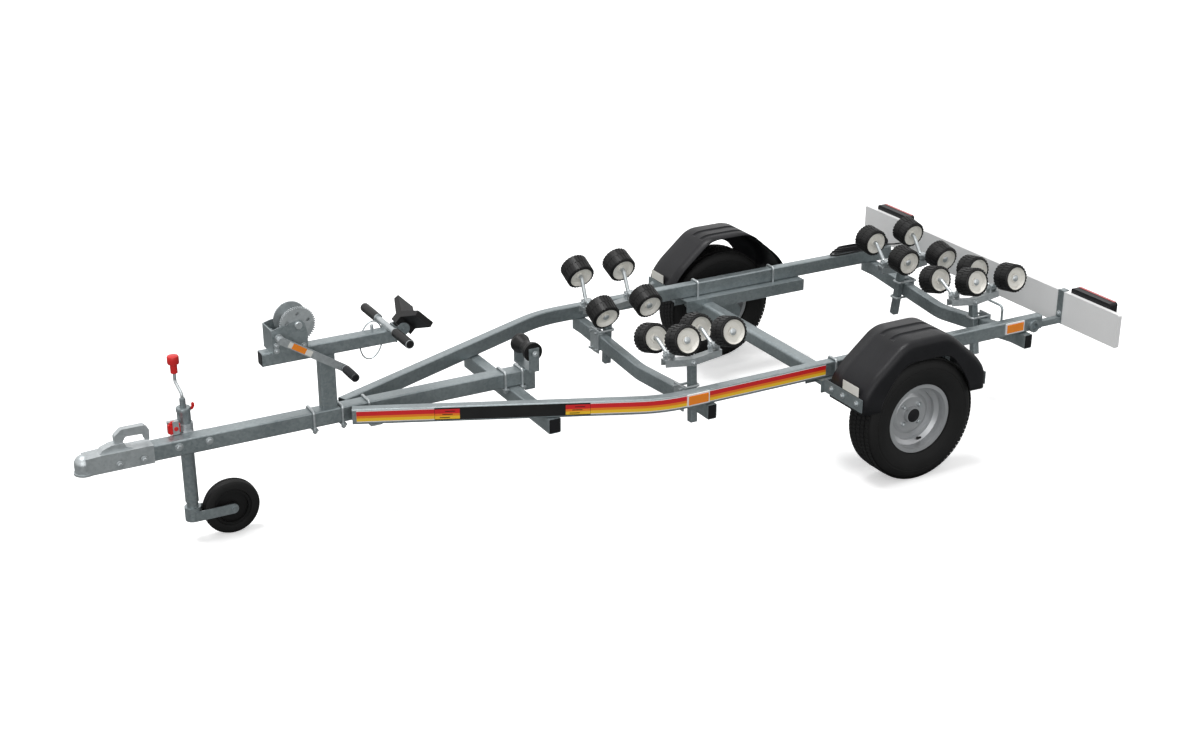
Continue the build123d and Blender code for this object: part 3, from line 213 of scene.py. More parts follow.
ZINC = galvanised("galvanised_zinc", (0.16, 0.19, 0.20), (0.36, 0.40, 0.41))
BRIGHT = galvanised("bright_zinc", (0.34, 0.37, 0.38), (0.56, 0.59, 0.60))
TYRE = moulded("tyre_black", (0.004, 0.004, 0.004), (0.011, 0.011, 0.011), 0.62, 700.0)
RUBBER = moulded("solid_rubber", (0.004, 0.004, 0.004), (0.012, 0.012, 0.012), 0.42, 500.0)
GUARD = moulded("guard_plastic", (0.005, 0.005, 0.006), (0.012, 0.012, 0.014), 0.40, 900.0)
NYLON = moulded("white_nylon", (0.66, 0.64, 0.58), (0.86, 0.85, 0.81), 0.38, 300.0)
RED = moulded("red_plastic", (0.55, 0.010, 0.010), (0.72, 0.020, 0.018), 0.30, 300.0)
CABLE = moulded("cable_sheath", (0.010, 0.010, 0.011), (0.030, 0.030, 0.032), 0.50, 900.0)
WHEEL_SILVER = sprayed("wheel_silver", (0.34, 0.35, 0.36), (0.50, 0.51, 0.52), 0.45)
BOARD_WHITE = sprayed("board_white", (0.78, 0.78, 0.78), (0.86, 0.86, 0.86), 0.0)
LENS = moulded("red_lens", (0.30, 0.004, 0.006), (0.52, 0.012, 0.014), 0.16, 240.0,
               Coat_Weight=0.6)
AMBER = moulded("amber_lens", (0.86, 0.20, 0.006), (0.95, 0.30, 0.012), 0.20, 420.0,
                Coat_Weight=0.5)
STRIPES = {
    "white": moulded("stripe_white", (0.80, 0.80, 0.80), (0.88, 0.88, 0.88), 0.32, 90.0),
    "red": moulded("stripe_red", (0.62, 0.010, 0.014), (0.70, 0.016, 0.022), 0.32, 90.0),
    "orange": moulded("stripe_orange", (0.80, 0.19, 0.010), (0.86, 0.23, 0.014), 0.32, 90.0),
    "yellow": moulded("stripe_yellow", (0.84, 0.50, 0.020), (0.90, 0.56, 0.030), 0.32, 90.0),
    "black": moulded("panel_black", (0.010, 0.010, 0.010), (0.020, 0.020, 0.020), 0.30, 90.0),
}


# ------------------------------------------------------------------ meshes
def piece(name, vertices, faces, material, body, replaces=(), smooth=35.0):
    """A mesh piece in the row frame, riding on a body."""
    mesh = bpy.data.meshes.new(name)
    mesh.from_pydata([tuple(v) for v in vertices], [], faces)
    return settle(name, mesh, material, body, replaces, smooth)


def settle(name, mesh, material, body, replaces=(), smooth=35.0):
    """Cleans a mesh, makes its piece and hands it to the frame."""
    work = bmesh.new()
    work.from_mesh(mesh)
    bmesh.ops.remove_doubles(work, verts=work.verts, dist=1e-6)
    bmesh.ops.recalc_face_normals(work, faces=work.faces)
    work.to_mesh(mesh)
    work.free()
    mesh.materials.clear()
    mesh.materials.append(material)
    mesh.shade_smooth()
    mesh.set_sharp_from_angle(angle=math.radians(smooth))
    made = bpy.data.objects.new(name, mesh)
    bpy.context.scene.collection.objects.link(made)
    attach(made, body)
    if replaces:
        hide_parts(*replaces)
    return made


def frame_along(centre, axis, up=(0, 0, 1)):
    """Matrix whose Z runs along an axis through a point."""
    z = Vector(axis).normalized()
    x = Vector(up).cross(z)
    x = (x if x.length > 1e-4 else Vector((1, 0, 0))).normalized()
    turn = Matrix((x, z.cross(x), z)).transposed().to_4x4()
    return Matrix.Translation(Vector(centre)) @ turn


def turned(profile, segments, closed=False):
    """Vertices and faces of a profile of (radius, height) in mm turned about Z."""
    vertices, faces = [], []
    count = len(profile)
    for step in range(segments):
        angle = 2 * math.pi * step / segments
        vertices += [(r * MM * math.cos(angle), r * MM * math.sin(angle), h * MM)
                     for r, h in profile]
    for step in range(segments):
        here, there = step * count, (step + 1) % segments * count
        for i in range(count if closed else count - 1):
            j = (i + 1) % count
            faces.append((here + i, here + j, there + j, there + i))
    return vertices, faces


def turned_mesh(name, profile, place, segments, closed=False):
    """A turned profile as a mesh, put in place."""
    vertices, faces = turned(profile, segments, closed)
    mesh = bpy.data.meshes.new(name)
    mesh.from_pydata([place @ Vector(v) for v in vertices], [], faces)
    return mesh


def turned_piece(name, profile, place, material, body, segments, closed=False, replaces=()):
    """A turned profile as a piece of its own."""
    mesh = turned_mesh(name, profile, place, segments, closed)
    return settle(name, mesh, material, body, replaces)


def boxes(name, corners, material, body, bevel=0.0008):
    """Bevelled boxes, each from its two corners in the row frame."""
    work = bmesh.new()
    for low, high in corners:
        low, high = Vector(low), Vector(high)
        size = Matrix.Diagonal((*(high - low), 1))
        bmesh.ops.create_cube(work, size=1.0, matrix=Matrix.Translation((low + high) / 2) @ size)
    bmesh.ops.bevel(work, geom=work.edges[:], offset=bevel, segments=2, affect="EDGES")
    mesh = bpy.data.meshes.new(name)
    work.to_mesh(mesh)
    work.free()
    return settle(name, mesh, material, body)


# ------------------------------------------------------------------ repeats by geometry nodes
def repeat_tree(name, material):
    """Bars stood on the points of a ring and turned with it."""
    tree = bpy.data.node_groups.new(name, "GeometryNodeTree")
    inputs = {}
    for label, kind, value in (("Count", "Int", 24), ("Radius", "Float", 0.05),
                               ("Deep", "Float", 0.01), ("Across", "Float", 0.01),
                               ("Long", "Float", 0.01)):
        socket = tree.interface.new_socket(label, in_out="INPUT", socket_type=f"NodeSocket{kind}")
        socket.default_value = value
        inputs[label] = socket.identifier
    tree.interface.new_socket("Geometry", in_out="OUTPUT", socket_type="NodeSocketGeometry")
    start, end, ring, bar, size, index, share, angle, turn, stand, real, paint = (
        tree.nodes.new(kind) for kind in (
            "NodeGroupInput", "NodeGroupOutput", "GeometryNodeMeshCircle", "GeometryNodeMeshCube",
            "ShaderNodeCombineXYZ", "GeometryNodeInputIndex", "ShaderNodeMath", "ShaderNodeMath",
            "ShaderNodeCombineXYZ", "GeometryNodeInstanceOnPoints",
            "GeometryNodeRealizeInstances", "GeometryNodeSetMaterial"))
    share.operation = "DIVIDE"
    angle.operation = "MULTIPLY"
    angle.inputs[1].default_value = 2 * math.pi
    paint.inputs["Material"].default_value = material
    for source, output, target, entry in (
            (start, "Count", ring, "Vertices"), (start, "Radius", ring, "Radius"),
            (start, "Deep", size, 0), (start, "Across", size, 1), (start, "Long", size, 2),
            (size, 0, bar, "Size"), (index, 0, share, 0), (start, "Count", share, 1),
            (share, 0, angle, 0), (angle, 0, turn, 2), (ring, 0, stand, "Points"),
            (bar, 0, stand, "Instance"), (turn, 0, stand, "Rotation"), (stand, 0, real, 0),
            (real, 0, paint, "Geometry"), (paint, 0, end, 0)):
        tree.links.new(source.outputs[output], target.inputs[entry])
    return tree, inputs


def ring_mesh(tree, inputs, count, bar, place, shift):
    """One ring of bars as a plain mesh, turned by a share of their pitch and put in place.

    A bar is its ring's radius, then its depth, width and length along the axis, in mm.
    """
    seed = bpy.data.objects.new("ring_seed", bpy.data.meshes.new("ring_seed"))
    bpy.context.scene.collection.objects.link(seed)
    modifier = seed.modifiers.new("ring", "NODES")
    modifier.node_group = tree
    modifier[inputs["Count"]] = count
    for label, value in zip(("Radius", "Deep", "Across", "Long"), bar):
        modifier[inputs[label]] = value * MM
    graph = bpy.context.evaluated_depsgraph_get()
    mesh = bpy.data.meshes.new_from_object(seed.evaluated_get(graph))
    bpy.data.objects.remove(seed)
    mesh.transform(place @ Matrix.Rotation(2 * math.pi * shift / count, 4, "Z"))
    return mesh


def joined(name, meshes, material, body, replaces=()):
    """Several meshes as one piece."""
    work = bmesh.new()
    for mesh in meshes:
        work.from_mesh(mesh)
    whole = bpy.data.meshes.new(name)
    work.to_mesh(whole)
    work.free()
    return settle(name, whole, material, body, replaces)


def hexagon(spot, axis, radius):
    """A hexagon bolt head of a radius in mm, and its washer, as meshes."""
    place = frame_along(spot, axis)
    head = [(0, 9.0), (radius - 2.0, 9.0), (radius, 7.5), (radius, 2.0)]
    washer = [(0, 2.0), (radius + 4.5, 2.0), (radius + 5.0, 1.5), (radius + 5.0, 0)]
    return [turned_mesh("head", head, place, 6), turned_mesh("washer", washer, place, 24)]


def curve_mesh(data):
    """A curve's shape as a plain mesh."""
    shape = bpy.data.objects.new(data.name, data)
    bpy.context.scene.collection.objects.link(shape)
    graph = bpy.context.evaluated_depsgraph_get()
    mesh = bpy.data.meshes.new_from_object(shape.evaluated_get(graph))
    bpy.data.objects.remove(shape)
    return mesh


def closed_line(data, points):
    """Adds a closed line through points to a curve."""
    spline = data.splines.new("POLY")
    spline.points.add(len(points) - 1)
    for point, place in zip(spline.points, points):
        point.co = (*place, 1.0)
    spline.use_cyclic_u = True


# ------------------------------------------------------------------ sizes that a user may change
class TrailerSizes(bpy.types.PropertyGroup):
    """Counts and sizes of the dressing."""

    tread_blocks: bpy.props.IntProperty(
        name="Tread blocks", description="Blocks in one row of tread", default=88)
    roller_ribs: bpy.props.IntProperty(
        name="Roller ribs", description="Ribs round a cradle roller", default=26)
    gear_teeth: bpy.props.IntProperty(
        name="Gear teeth", description="Teeth of the winch gear", default=48)
    lead_diameter: bpy.props.FloatProperty(
        name="Lead diameter", description="Diameter of the lighting lead", default=0.007,
        subtype="DISTANCE")
    lens: bpy.props.FloatProperty(
        name="Lens", description="Focal length in millimetres", default=53.75)


def sizes():
    """The scene's settings."""
    return bpy.context.scene.trailer_sizes


class Maker(bpy.types.Operator):
    """Base of the trailer's operators."""

    bl_options = {"REGISTER", "UNDO"}

    def execute(self, context):
        self.make()
        return {"FINISHED"}


class TRAILER_OT_stage(Maker):
    """Camera, floor and studio light."""

    bl_idname = "trailer.stage"
    bl_label = "Stage"

    def make(self):
        scene = bpy.context.scene
        camera = bpy.data.objects.new("camera", bpy.data.cameras.new("camera"))
        scene.collection.objects.link(camera)
        camera.location = CAMERA_PLACE
        level = math.cos(CAMERA_PITCH)
        ahead = Vector((math.sin(CAMERA_YAW) * level, math.cos(CAMERA_YAW) * level,
                        -math.sin(CAMERA_PITCH)))
        camera.rotation_euler = ahead.to_track_quat("-Z", "Y").to_euler()
        camera.data.lens = sizes().lens
        camera.data.sensor_width = 36.0
        camera.data.sensor_fit = "HORIZONTAL"
        camera.data.clip_end = 200.0
        scene.camera = camera
        scene.view_settings.view_transform = "Standard"

        floor = bpy.data.objects.new("floor", bpy.data.meshes.new("floor"))
        reach = 40
        corners = [(-reach, -reach, 0), (reach, -reach, 0), (reach, reach, 0), (-reach, reach, 0)]
        floor.data.from_pydata(corners, [], [(0, 1, 2, 3)])
        # The floor is white to the camera alone, and dark in reflections and bounced light.
        white = (0.93, 0.93, 0.93)
        pale = Finish("floor_pale", white, 0.9)
        seen = Wire(pale.tree, pale.node("ShaderNodeLightPath").outputs["Is Camera Ray"])
        pale.colours(seen, (0.16, 0.17, 0.17), white)
        pale.colours(seen, (0, 0, 0), (0.42, 0.42, 0.42), "Emission Color")
        pale.shader.inputs["Emission Strength"].default_value = 1.0
        floor.data.materials.append(pale.material)
        scene.collection.objects.link(floor)

        world = bpy.data.worlds.new("studio")
        world.use_nodes = True
        scene.world = world
        tree = world.node_tree
        rays = tree.nodes.new("ShaderNodeLightPath")
        back = tree.nodes["Background"]
        back.inputs["Color"].default_value = (1, 1, 1, 1)
        # Camera and mirror rays see a brighter sky than the one that lights the trailer.
        seen = (Wire(tree, rays.outputs["Is Camera Ray"])
                + Wire(tree, rays.outputs["Is Glossy Ray"]))
        light, extra = 0.50, 0.62
        strength = light + (seen > 0.5) * extra
        tree.links.new(strength.socket, back.inputs["Strength"])
        for name, place, power, spread in (("key", (-0.9, 0.4, 4.0), 2.3, 24.0),
                                           ("fill", (-2.6, -4.6, 2.0), 0.95, 50.0)):
            lamp = bpy.data.objects.new(name, bpy.data.lights.new(name, "SUN"))
            lamp.data.energy = power
            lamp.data.angle = math.radians(spread)
            lamp.location = place
            lamp.rotation_euler = (-Vector(place)).to_track_quat("-Z", "Y").to_euler()
            scene.collection.objects.link(lamp)


class TRAILER_OT_finishes(Maker):
    """Finish of every carried-over part."""

    bl_idname = "trailer.finishes"
    bl_label = "Finishes"

    def make(self):
        by_slot = {"galvanised_steel": ZINC, "wheel_rim": WHEEL_SILVER, "tyre_rubber": TYRE,
                   "guard_plastic": GUARD, "jockey_hub": RUBBER, "solid_rubber": RUBBER,
                   "winch_crank_steel": BRIGHT, "grip_rubber": BRIGHT, "board_white": BOARD_WHITE,
                   "lamp_red": GUARD, "reflector_orange": BOARD_WHITE, "lead_black": CABLE,
                   "roller_rubber": RUBBER}
        plated = ("u_bolts", "cradle_beam", "cradle_clamps", "coupling", "jockey_c", "rocker_")
        for entry in frame["record"]["subparts"]:
            name = entry["node"]
            NODES[name].data.materials.clear()
            finish = BRIGHT if name.startswith(plated) else by_slot[entry["material_slot"]]
            NODES[name].data.materials.append(finish)


class TRAILER_OT_tyres(Maker):
    """Road tyres with blocks of tread and ribbed sidewalls."""

    bl_idname = "trailer.tyres"
    bl_label = "Tyres"

    def make(self):
        half_width, bore = 72.5, 126.8
        outward = [(bore, 43), (130.8, 50.7), (142.5, 50.7), (146, 61), (168, 69),
                   (190, half_width), (206, 71.8), (207, 70.4), (212, 70.0), (213, 71),
                   (226, 68.5), (240, 61), (246, 52), (246.5, 0)]
        profile = outward + [(r, -h) for r, h in outward[-2::-1]] + [(bore, -20), (bore, 20)]
        tree, inputs = repeat_tree("tread", TYRE)
        count = sizes().tread_blocks
        block_depth, block_width, crown, shoulder = 4.2, 15.6, 249.2, 247.6
        # offset, length along the axis, shift as a share of the pitch, radius
        rows = ((-49, 20, 0.0, shoulder), (-25, 21, 0.5, crown), (0, 22, 0.0, crown),
                (25, 21, 0.5, crown), (49, 20, 0.0, shoulder))
        for side, _ in SIDES:
            place = frame_along(JOINTS[f"wheel_{side}_spin"]["pos_m"], (0, 1, 0))
            meshes = [turned_mesh("carcass", profile, place, 96, closed=True)]
            for offset, length, shift, radius in rows:
                bar = (radius, block_depth, block_width, length)
                lift = Matrix.Translation((0, 0, offset * MM))
                meshes.append(ring_mesh(tree, inputs, count, bar, place @ lift, shift))
            joined(f"tyre_{side}_tread", meshes, TYRE, f"wheel_{side}",
                   [f"tyre_{side}"])


class TRAILER_OT_hubs(Maker):
    """Wheel nuts, black hub caps and valves."""

    bl_idname = "trailer.hubs"
    bl_label = "Wheel nuts and caps"

    def make(self):
        for side, sign in SIDES:
            x, _, z = JOINTS[f"wheel_{side}_spin"]["pos_m"]
            body, outward = f"wheel_{side}", (0, sign, 0)
            nut = [(0, 13), (7, 13), (8.5, 11.5), (9, 0)]
            nut_circle, nut_face, cap_face = 0.050, sign * 0.720, sign * 0.708
            meshes = []
            for k in range(4):
                turn = math.radians(45 + 90 * k)
                spot = (x + nut_circle * math.cos(turn), nut_face, z + nut_circle * math.sin(turn))
                meshes.append(turned_mesh("nut", nut, frame_along(spot, outward), 6))
            joined(f"wheel_nuts_{side}", meshes, BRIGHT, body)
            cap = [(0, 34), (14, 33.5), (27, 31), (31.5, 26), (32.6, 4), (32.6, 0)]
            turned_piece(f"hub_cap_{side}", cap, frame_along((x, cap_face, z), outward),
                         GUARD, body, 48)
            valve = [(0, 30), (2.5, 30), (4.5, 26), (4.5, 8), (6.5, 3), (6.5, 0)]
            seat = (x + 0.030, sign * 0.735, z - 0.104)
            turned_piece(f"valve_{side}", valve, frame_along(seat, (-0.2, sign, 0.6)),
                         RUBBER, body, 16)


class TRAILER_OT_rollers(Maker):
    """Ribbed black rollers on white hubs, in pairs."""

    bl_idname = "trailer.rollers"
    bl_label = "Cradle rollers"

    def make(self):
        tread = [(46.6, 40), (52, 40), (56, 37), (57, 30),
                 (57, -30), (56, -37), (52, -40), (46.6, -40)]
        hub = [(9.0, 33), (16, 33), (17, 31), (17.5, 24), (38, 25), (44, 33), (46.5, 40),
               (46.5, -40), (44, -33), (38, -25), (17.5, -24), (17, -31), (16, -33), (9.0, -33)]
        tree, inputs = repeat_tree("ribs", RUBBER)
        count = sizes().roller_ribs
        from_middle, rib, rib_rows = 0.120, (56.8, 4.4, 8.4, 35.0), ((-18.5, 0.0), (18.5, 0.5))
        for name, joint in JOINTS.items():
            if not name.startswith("rollers_"):
                continue
            node = name.removesuffix("_spin")
            for part, profile, material, rows, slot in (
                    ("tread", tread, RUBBER, rib_rows, "roller_rubber"),
                    ("hub", hub, NYLON, (), "board_white")):
                meshes = []
                for end in (-1, 1):
                    centre = Vector(joint["pos_m"]) + Vector(joint["axis"]) * end * from_middle
                    place = frame_along(centre, joint["axis"], (1, 0, 0))
                    meshes.append(turned_mesh(part, profile, place, 56, closed=True))
                    for offset, shift in rows:
                        lift = Matrix.Translation((0, 0, offset * MM))
                        meshes.append(ring_mesh(tree, inputs, count, rib, place @ lift, shift))
                joined(f"{node}_{part}", meshes, material, node, [node])


class TRAILER_OT_stripes(Maker):
    """Stripes and a blank black panel along the left rail."""

    bl_idname = "trailer.stripes"
    bl_label = "Stripes"

    # The outer face slants out from the front to the bend's corner, then runs straight back.
    front, front_y = 997.0, -72.06
    corner, rear_y, bend_radius = 2033.9, -529.0, 470.0
    skin = 0.8                          # the stripes lie this far off the steel, in mm

    def line(self, start, end, steps=60):
        """Points of the left rail's outer face between two stations, (station, y)."""
        slope = math.atan2(self.front_y - self.rear_y, self.corner - self.front)
        reach = self.bend_radius * math.tan(slope / 2)
        bend_start = self.corner - reach * math.cos(slope)
        bend_end = self.corner + reach
        points = []
        for step in range(steps + 1):
            station = start + (end - start) * step / steps
            if station <= bend_start:
                share = (station - self.front) / (self.corner - self.front)
                y = self.front_y + share * (self.rear_y - self.front_y)
            elif station >= bend_end:
                y = self.rear_y
            else:
                across = math.sqrt(self.bend_radius ** 2 - (bend_end - station) ** 2)
                y = self.rear_y + self.bend_radius - across
            points.append((station, y - self.skin))
        return points

    def band(self, name, start, end, low, high, colour, lift=0.0):
        """A strip of colour between two stations and two heights."""
        points = self.line(start, end)
        vertices = []
        for station, y in points:
            vertices += [at(station, y - lift, low), at(station, y - lift, high)]
        faces = [(2 * i, 2 * i + 2, 2 * i + 3, 2 * i + 1) for i in range(len(points) - 1)]
        piece(name, vertices, faces, STRIPES[colour], "frame")

    def make(self):
        table = (("white_top", "white", 441.5, 444.5), ("red", "red", 424.0, 441.5),
                 ("orange", "orange", 415.0, 424.0), ("yellow", "yellow", 402.5, 415.0),
                 ("white_low", "white", 400.0, 402.5))
        for name, colour, low, high in table:
            self.band(f"stripe_{name}", 1003.0, 2755.0, low, high, colour)
        self.band("panel_black", 1261.0, 1783.0, 398.0, 446.0, "black", 0.3)
        for name, colour, low, high in table[1:4]:
            for end, start, stop in (("fore", 1262.0, 1345.0), ("aft", 1699.0, 1782.0)):
                self.band(f"panel_{end}_{name}", start, stop, low - 1, high - 1, colour, 0.6)
        fleck_long, fleck_high, step_along, step_up = 34, 3.0, 9, 12.0
        for end, start in (("fore", 1278.0), ("aft", 1712.0)):
            for k in range(3):
                first, low = start + step_along * k, 406.0 + step_up * k
                self.band(f"panel_{end}_fleck_{k}", first, first + fleck_long,
                          low, low + fleck_high, "black", 0.9)


class TRAILER_OT_guards(Maker):
    """Mudguards with a rolled outer edge, two recessed ribs and a blank white marker."""

    bl_idname = "trailer.guards"
    bl_label = "Mudguards"

    outline = ((-293, 335), (-293, 408), (-250, 468), (-103, 594),
               (103, 594), (250, 468), (293, 408), (293, 335))
    arch = ((-212, 336), (-204, 372), (-170, 430), (-108, 509),
            (108, 509), (170, 430), (204, 372), (212, 336))

    def rounded(self, corners, reach=45, longest_share=0.45, steps=7):
        """Outline with each inner corner eased by a quadratic arc."""
        points = [Vector(corners[0])]
        for before, corner, after in zip(corners, corners[1:], corners[2:]):
            before, corner, after = Vector(before), Vector(corner), Vector(after)
            pull = min(reach, (corner - before).length * longest_share,
                       (after - corner).length * longest_share)
            start = corner + (before - corner).normalized() * pull
            end = corner + (after - corner).normalized() * pull
            for k in range(steps + 1):
                t = k / steps
                points.append(start * (1 - t) ** 2 + corner * 2 * t * (1 - t) + end * t * t)
        points.append(Vector(corners[-1]))
        return points

    def make(self):
        middle = Vector((0, 330))
        # depth of the two ribs pressed into the flat top, by offset from the centreline
        dips = ((0, 585), (0, 640), (5, 644), (5, 664), (0, 668), (0, 702), (5, 706), (5, 726),
                (0, 730))
        flat_half, edge_radius, edge_y, outer_y, lip_y = 112, 26, 779, 805, 802
        for side, sign in SIDES:
            rows = []
            for outer, inner in zip(self.rounded(self.outline), self.rounded(self.arch)):
                toward = (middle - outer).normalized()
                on_top = 1.0 if abs(outer.x) < flat_half else 0.0
                row = [(outer + toward * depth * on_top, y) for depth, y in dips]
                row += [(outer + toward * (edge_radius - edge_radius * math.cos(a)),
                         edge_y + edge_radius * math.sin(a))
                        for a in (0.0, 0.4, 0.8, 1.2, math.pi / 2)]
                row += [(outer.lerp(inner, share), outer_y) for share in (0.55, 0.96)]
                row.append((inner, lip_y))
                rows.append([at(AXLE_STATION + p.x, sign * y, p.y) for p, y in row])
            wide = len(rows[0])
            faces = [(i * wide + j, i * wide + j + 1, (i + 1) * wide + j + 1, (i + 1) * wide + j)
                     for i in range(len(rows) - 1) for j in range(wide - 1)]
            guard = piece(f"mudguard_{side}", [v for row in rows for v in row], faces, GUARD,
                          "frame", ["mudguards"], 28.0)
            shell = guard.modifiers.new("wall", "SOLIDIFY")
            shell.thickness = 0.0035
            shell.offset = -1.0
            ys = sorted((sign * 0.668, sign * 0.768))
            front, thick = at(AXLE_STATION - 294.5, 0, 0).x, 0.0016
            boxes(f"guard_marker_{side}", [((front - thick, ys[0], 0.400), (front, ys[1], 0.438))],
                  NYLON, "frame", 0.0006)


class TRAILER_OT_lamps(Maker):
    """Black lamp housings with red lenses, and orange side reflectors in white frames."""

    bl_idname = "trailer.lamps"
    bl_label = "Lamps and reflectors"

    def make(self):
        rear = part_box("rear_lamps")[1].x
        for side, sign in SIDES:
            ys = sorted((sign * 0.553, sign * 0.762))
            lens = ((rear - 0.014, ys[0], 0.450), (rear + 0.004, ys[1], 0.5535))
            boxes(f"lamp_lens_{side}", [lens], LENS, "frame", 0.003)
            half_long = 43
            for place, station in (("front", 2177.0), ("rear", 3695.0)):
                ys = sorted((sign * 0.5345, sign * 0.5375))
                low, high = at(station - half_long, 0, 405), at(station + half_long, 0, 441)
                lens = ((low.x, ys[0], low.z), (high.x, ys[1], high.z))
                boxes(f"reflector_{place}_{side}", [lens], AMBER, "frame",
                      0.0012)


class TRAILER_OT_winch(Maker):
    """Winch gear and spool, blank label, grips, nuts, and the beam's pin with its ring."""

    bl_idname = "trailer.winch"
    bl_label = "Winch"

    shaft_station, shaft_height = 743, 768

    def gear(self):
        """Toothed plate with five holes, flat about the origin."""
        plate = bpy.data.curves.new("gear", "CURVE")
        plate.dimensions = "2D"
        plate.fill_mode = "BOTH"
        plate.extrude = 0.0034
        teeth = sizes().gear_teeth
        root, tip, hole_circle, hole = 0.0612, 0.0668, 0.042, 0.0072
        rim = []
        for k in range(teeth):
            for share, radius in ((0.0, root), (0.30, root), (0.42, tip), (0.78, tip),
                                  (0.90, root)):
                turn = 2 * math.pi * (k + share) / teeth
                rim.append((radius * math.cos(turn), radius * math.sin(turn), 0))
        closed_line(plate, rim)
        for k in range(5):
            turn = 2 * math.pi * k / 5 + 0.3
            x, y = hole_circle * math.cos(turn), hole_circle * math.sin(turn)
            closed_line(plate, [(x + hole * math.cos(a), y + hole * math.sin(a), 0)
                                for a in (2 * math.pi * i / 20 for i in range(20))])
        return curve_mesh(plate)

    def make(self):
        place = frame_along(JOINTS["winch_drum_spin"]["pos_m"], (0, 1, 0))
        gear = self.gear()
        gear.transform(place @ Matrix.Translation((0, 0, -0.039)))
        spool = [(0, -56), (12, -56), (14, -53), (14, -44), (14, -34), (21, -30), (21, 36),
                 (21, 39), (60, 39), (62, 41), (60, 42.4), (14, 42.4), (14, 53), (12, 56), (0, 56)]
        flange = [(21, -29.5), (58, -29.5), (61, -28), (58, -26.5), (21, -26.5)]
        meshes = [gear] + [turned_mesh("spool", profile, place, 64) for profile in (spool, flange)]
        joined("winch_gear_and_spool", meshes, BRIGHT, "winch_drum",
               ["winch_drum"])
        self.arm()
        self.beam()

    def arm(self):
        """Label and grip of the crank's arm, and the grips of the bow handle."""
        fall = math.radians(-33)
        along_arm = Vector((math.cos(fall), 0, math.sin(fall)))
        across = Vector((-math.sin(fall), 0, math.cos(fall)))
        face = at(self.shaft_station, -83.6, self.shaft_height)
        half = 0.0105
        for label, start, end, material in (("white_fore", 0.028, 0.044, NYLON),
                                            ("orange", 0.044, 0.100, AMBER),
                                            ("white_aft", 0.100, 0.126, NYLON)):
            corners = [face + along_arm * reach + across * rise for reach, rise in
                       ((start, -half), (end, -half), (end, half), (start, half))]
            piece(f"arm_label_{label}", corners, [(0, 1, 2, 3)], material, "winch_crank")
        grip = [(0, 2.5), (12, 2.2), (17.4, -3), (17.6, -60), (17.0, -130), (14, -134),
                (11.2, -134)]
        for side, sign in SIDES:
            turned_piece(f"bow_grip_{side}", grip,
                         frame_along(at(1167, sign * 215, 722), (0, sign, 0)),
                         RUBBER, "frame", 32)
        grip = [(0, 98.5), (12, 98), (15.6, 94), (16.2, 60), (15.9, 6), (13, -0.5), (6.2, -0.5)]
        arm_length = 0.268
        hand = at(self.shaft_station, -90, self.shaft_height) + along_arm * arm_length
        turned_piece("crank_grip", grip, frame_along(hand, (0, -1, 0)), GUARD, "winch_crank",
                     32)

    def beam(self):
        """Nuts of the winch's frame, and the beam's pin with its ring."""
        plate_face = 48.2
        meshes = []
        for station, height, radius in ((self.shaft_station, self.shaft_height, 10.0),
                                        (733, 742, 6.0), (733, 722, 6.0), (832, 724, 6.0)):
            for sign in (-1, 1):
                meshes += hexagon(at(station, sign * plate_face, height), (0, sign, 0), radius)
        joined("winch_frame_nuts", meshes, BRIGHT, "frame")
        loop = bpy.data.curves.new("beam_pin_ring", "CURVE")
        loop.dimensions = "3D"
        loop.bevel_depth = 0.0026
        loop.bevel_resolution = 2
        station, height, half_long, half_high, lean, steps = 1116, 664, 44, 72, 8, 40
        closed_line(loop, [at(station + half_long * math.cos(a) + lean * math.sin(a), 30,
                              height + half_high * math.sin(a))
                           for a in (2 * math.pi * k / steps for k in range(steps))])
        settle("beam_pin_ring", curve_mesh(loop), ZINC, "frame")
        pin = [(0, 24), (5, 23), (6, 20), (6, 6), (4, 5), (4, 0)]
        turned_piece("beam_pin", pin, frame_along(at(1112, 8, 710), (0, 0, 1)), BRIGHT, "frame",
                     20)


class TRAILER_OT_jockey(Maker):
    """Red knob, clamp lever, button and hook of the jockey wheel, its collar and its tyre."""

    bl_idname = "trailer.jockey"
    bl_label = "Jockey wheel"

    def make(self):
        crank_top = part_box("jockey_crank")[1].z / MM
        knob = [(0, 31), (15, 31), (20, 29), (21.2, 26), (21.2, 3), (20, 0), (13, -1),
                (12.8, -35), (8, -37)]
        turned_piece("jockey_knob", knob, Matrix.Translation(at(408, 121, crank_top - 28)), RED,
                     "frame", 40)
        boxes("clamp_lever", [(at(344, 23.5, 450), at(388, 47, 492)),
                              (at(350, 26, 488), at(374, 44, 499))],
              RED, "frame", 0.006)
        button = [(0, 3.0), (6.5, 2.6), (8, 1.4), (8, 0)]
        turned_piece("clamp_button", button, frame_along(at(370, 19.8, 474), (0, -1, 0)), RED,
                     "frame", 24)
        boxes("tube_hook", [(at(439, 70, 512), at(452, 84, 522)),
                            (at(446, 70, 518), at(456, 84, 538))],
              RED, "frame", 0.003)
        collar = [(24.3, -12), (26.0, -11), (26.2, 0), (25.0, 2.5), (12, 3)]
        turned_piece("tube_collar", collar, frame_along(at(416, 77, 524), (0, 0, 1)), ZINC,
                     "frame", 40)
        tyre = [(68.3, 18), (72, 24), (92, 25), (101, 20), (104.6, 12), (105, 6), (102.5, 4),
                (102.5, -4), (105, -6), (104.6, -12), (101, -20), (92, -25), (72, -24),
                (68.3, -18)]
        wheel = JOINTS["jockey_wheel_spin"]["pos_m"]
        turned_piece("jockey_tyre_grooved", tyre, frame_along(wheel, (0, 1, 0)), TYRE,
                     "jockey_wheel", 80, True, ["jockey_tyre"])


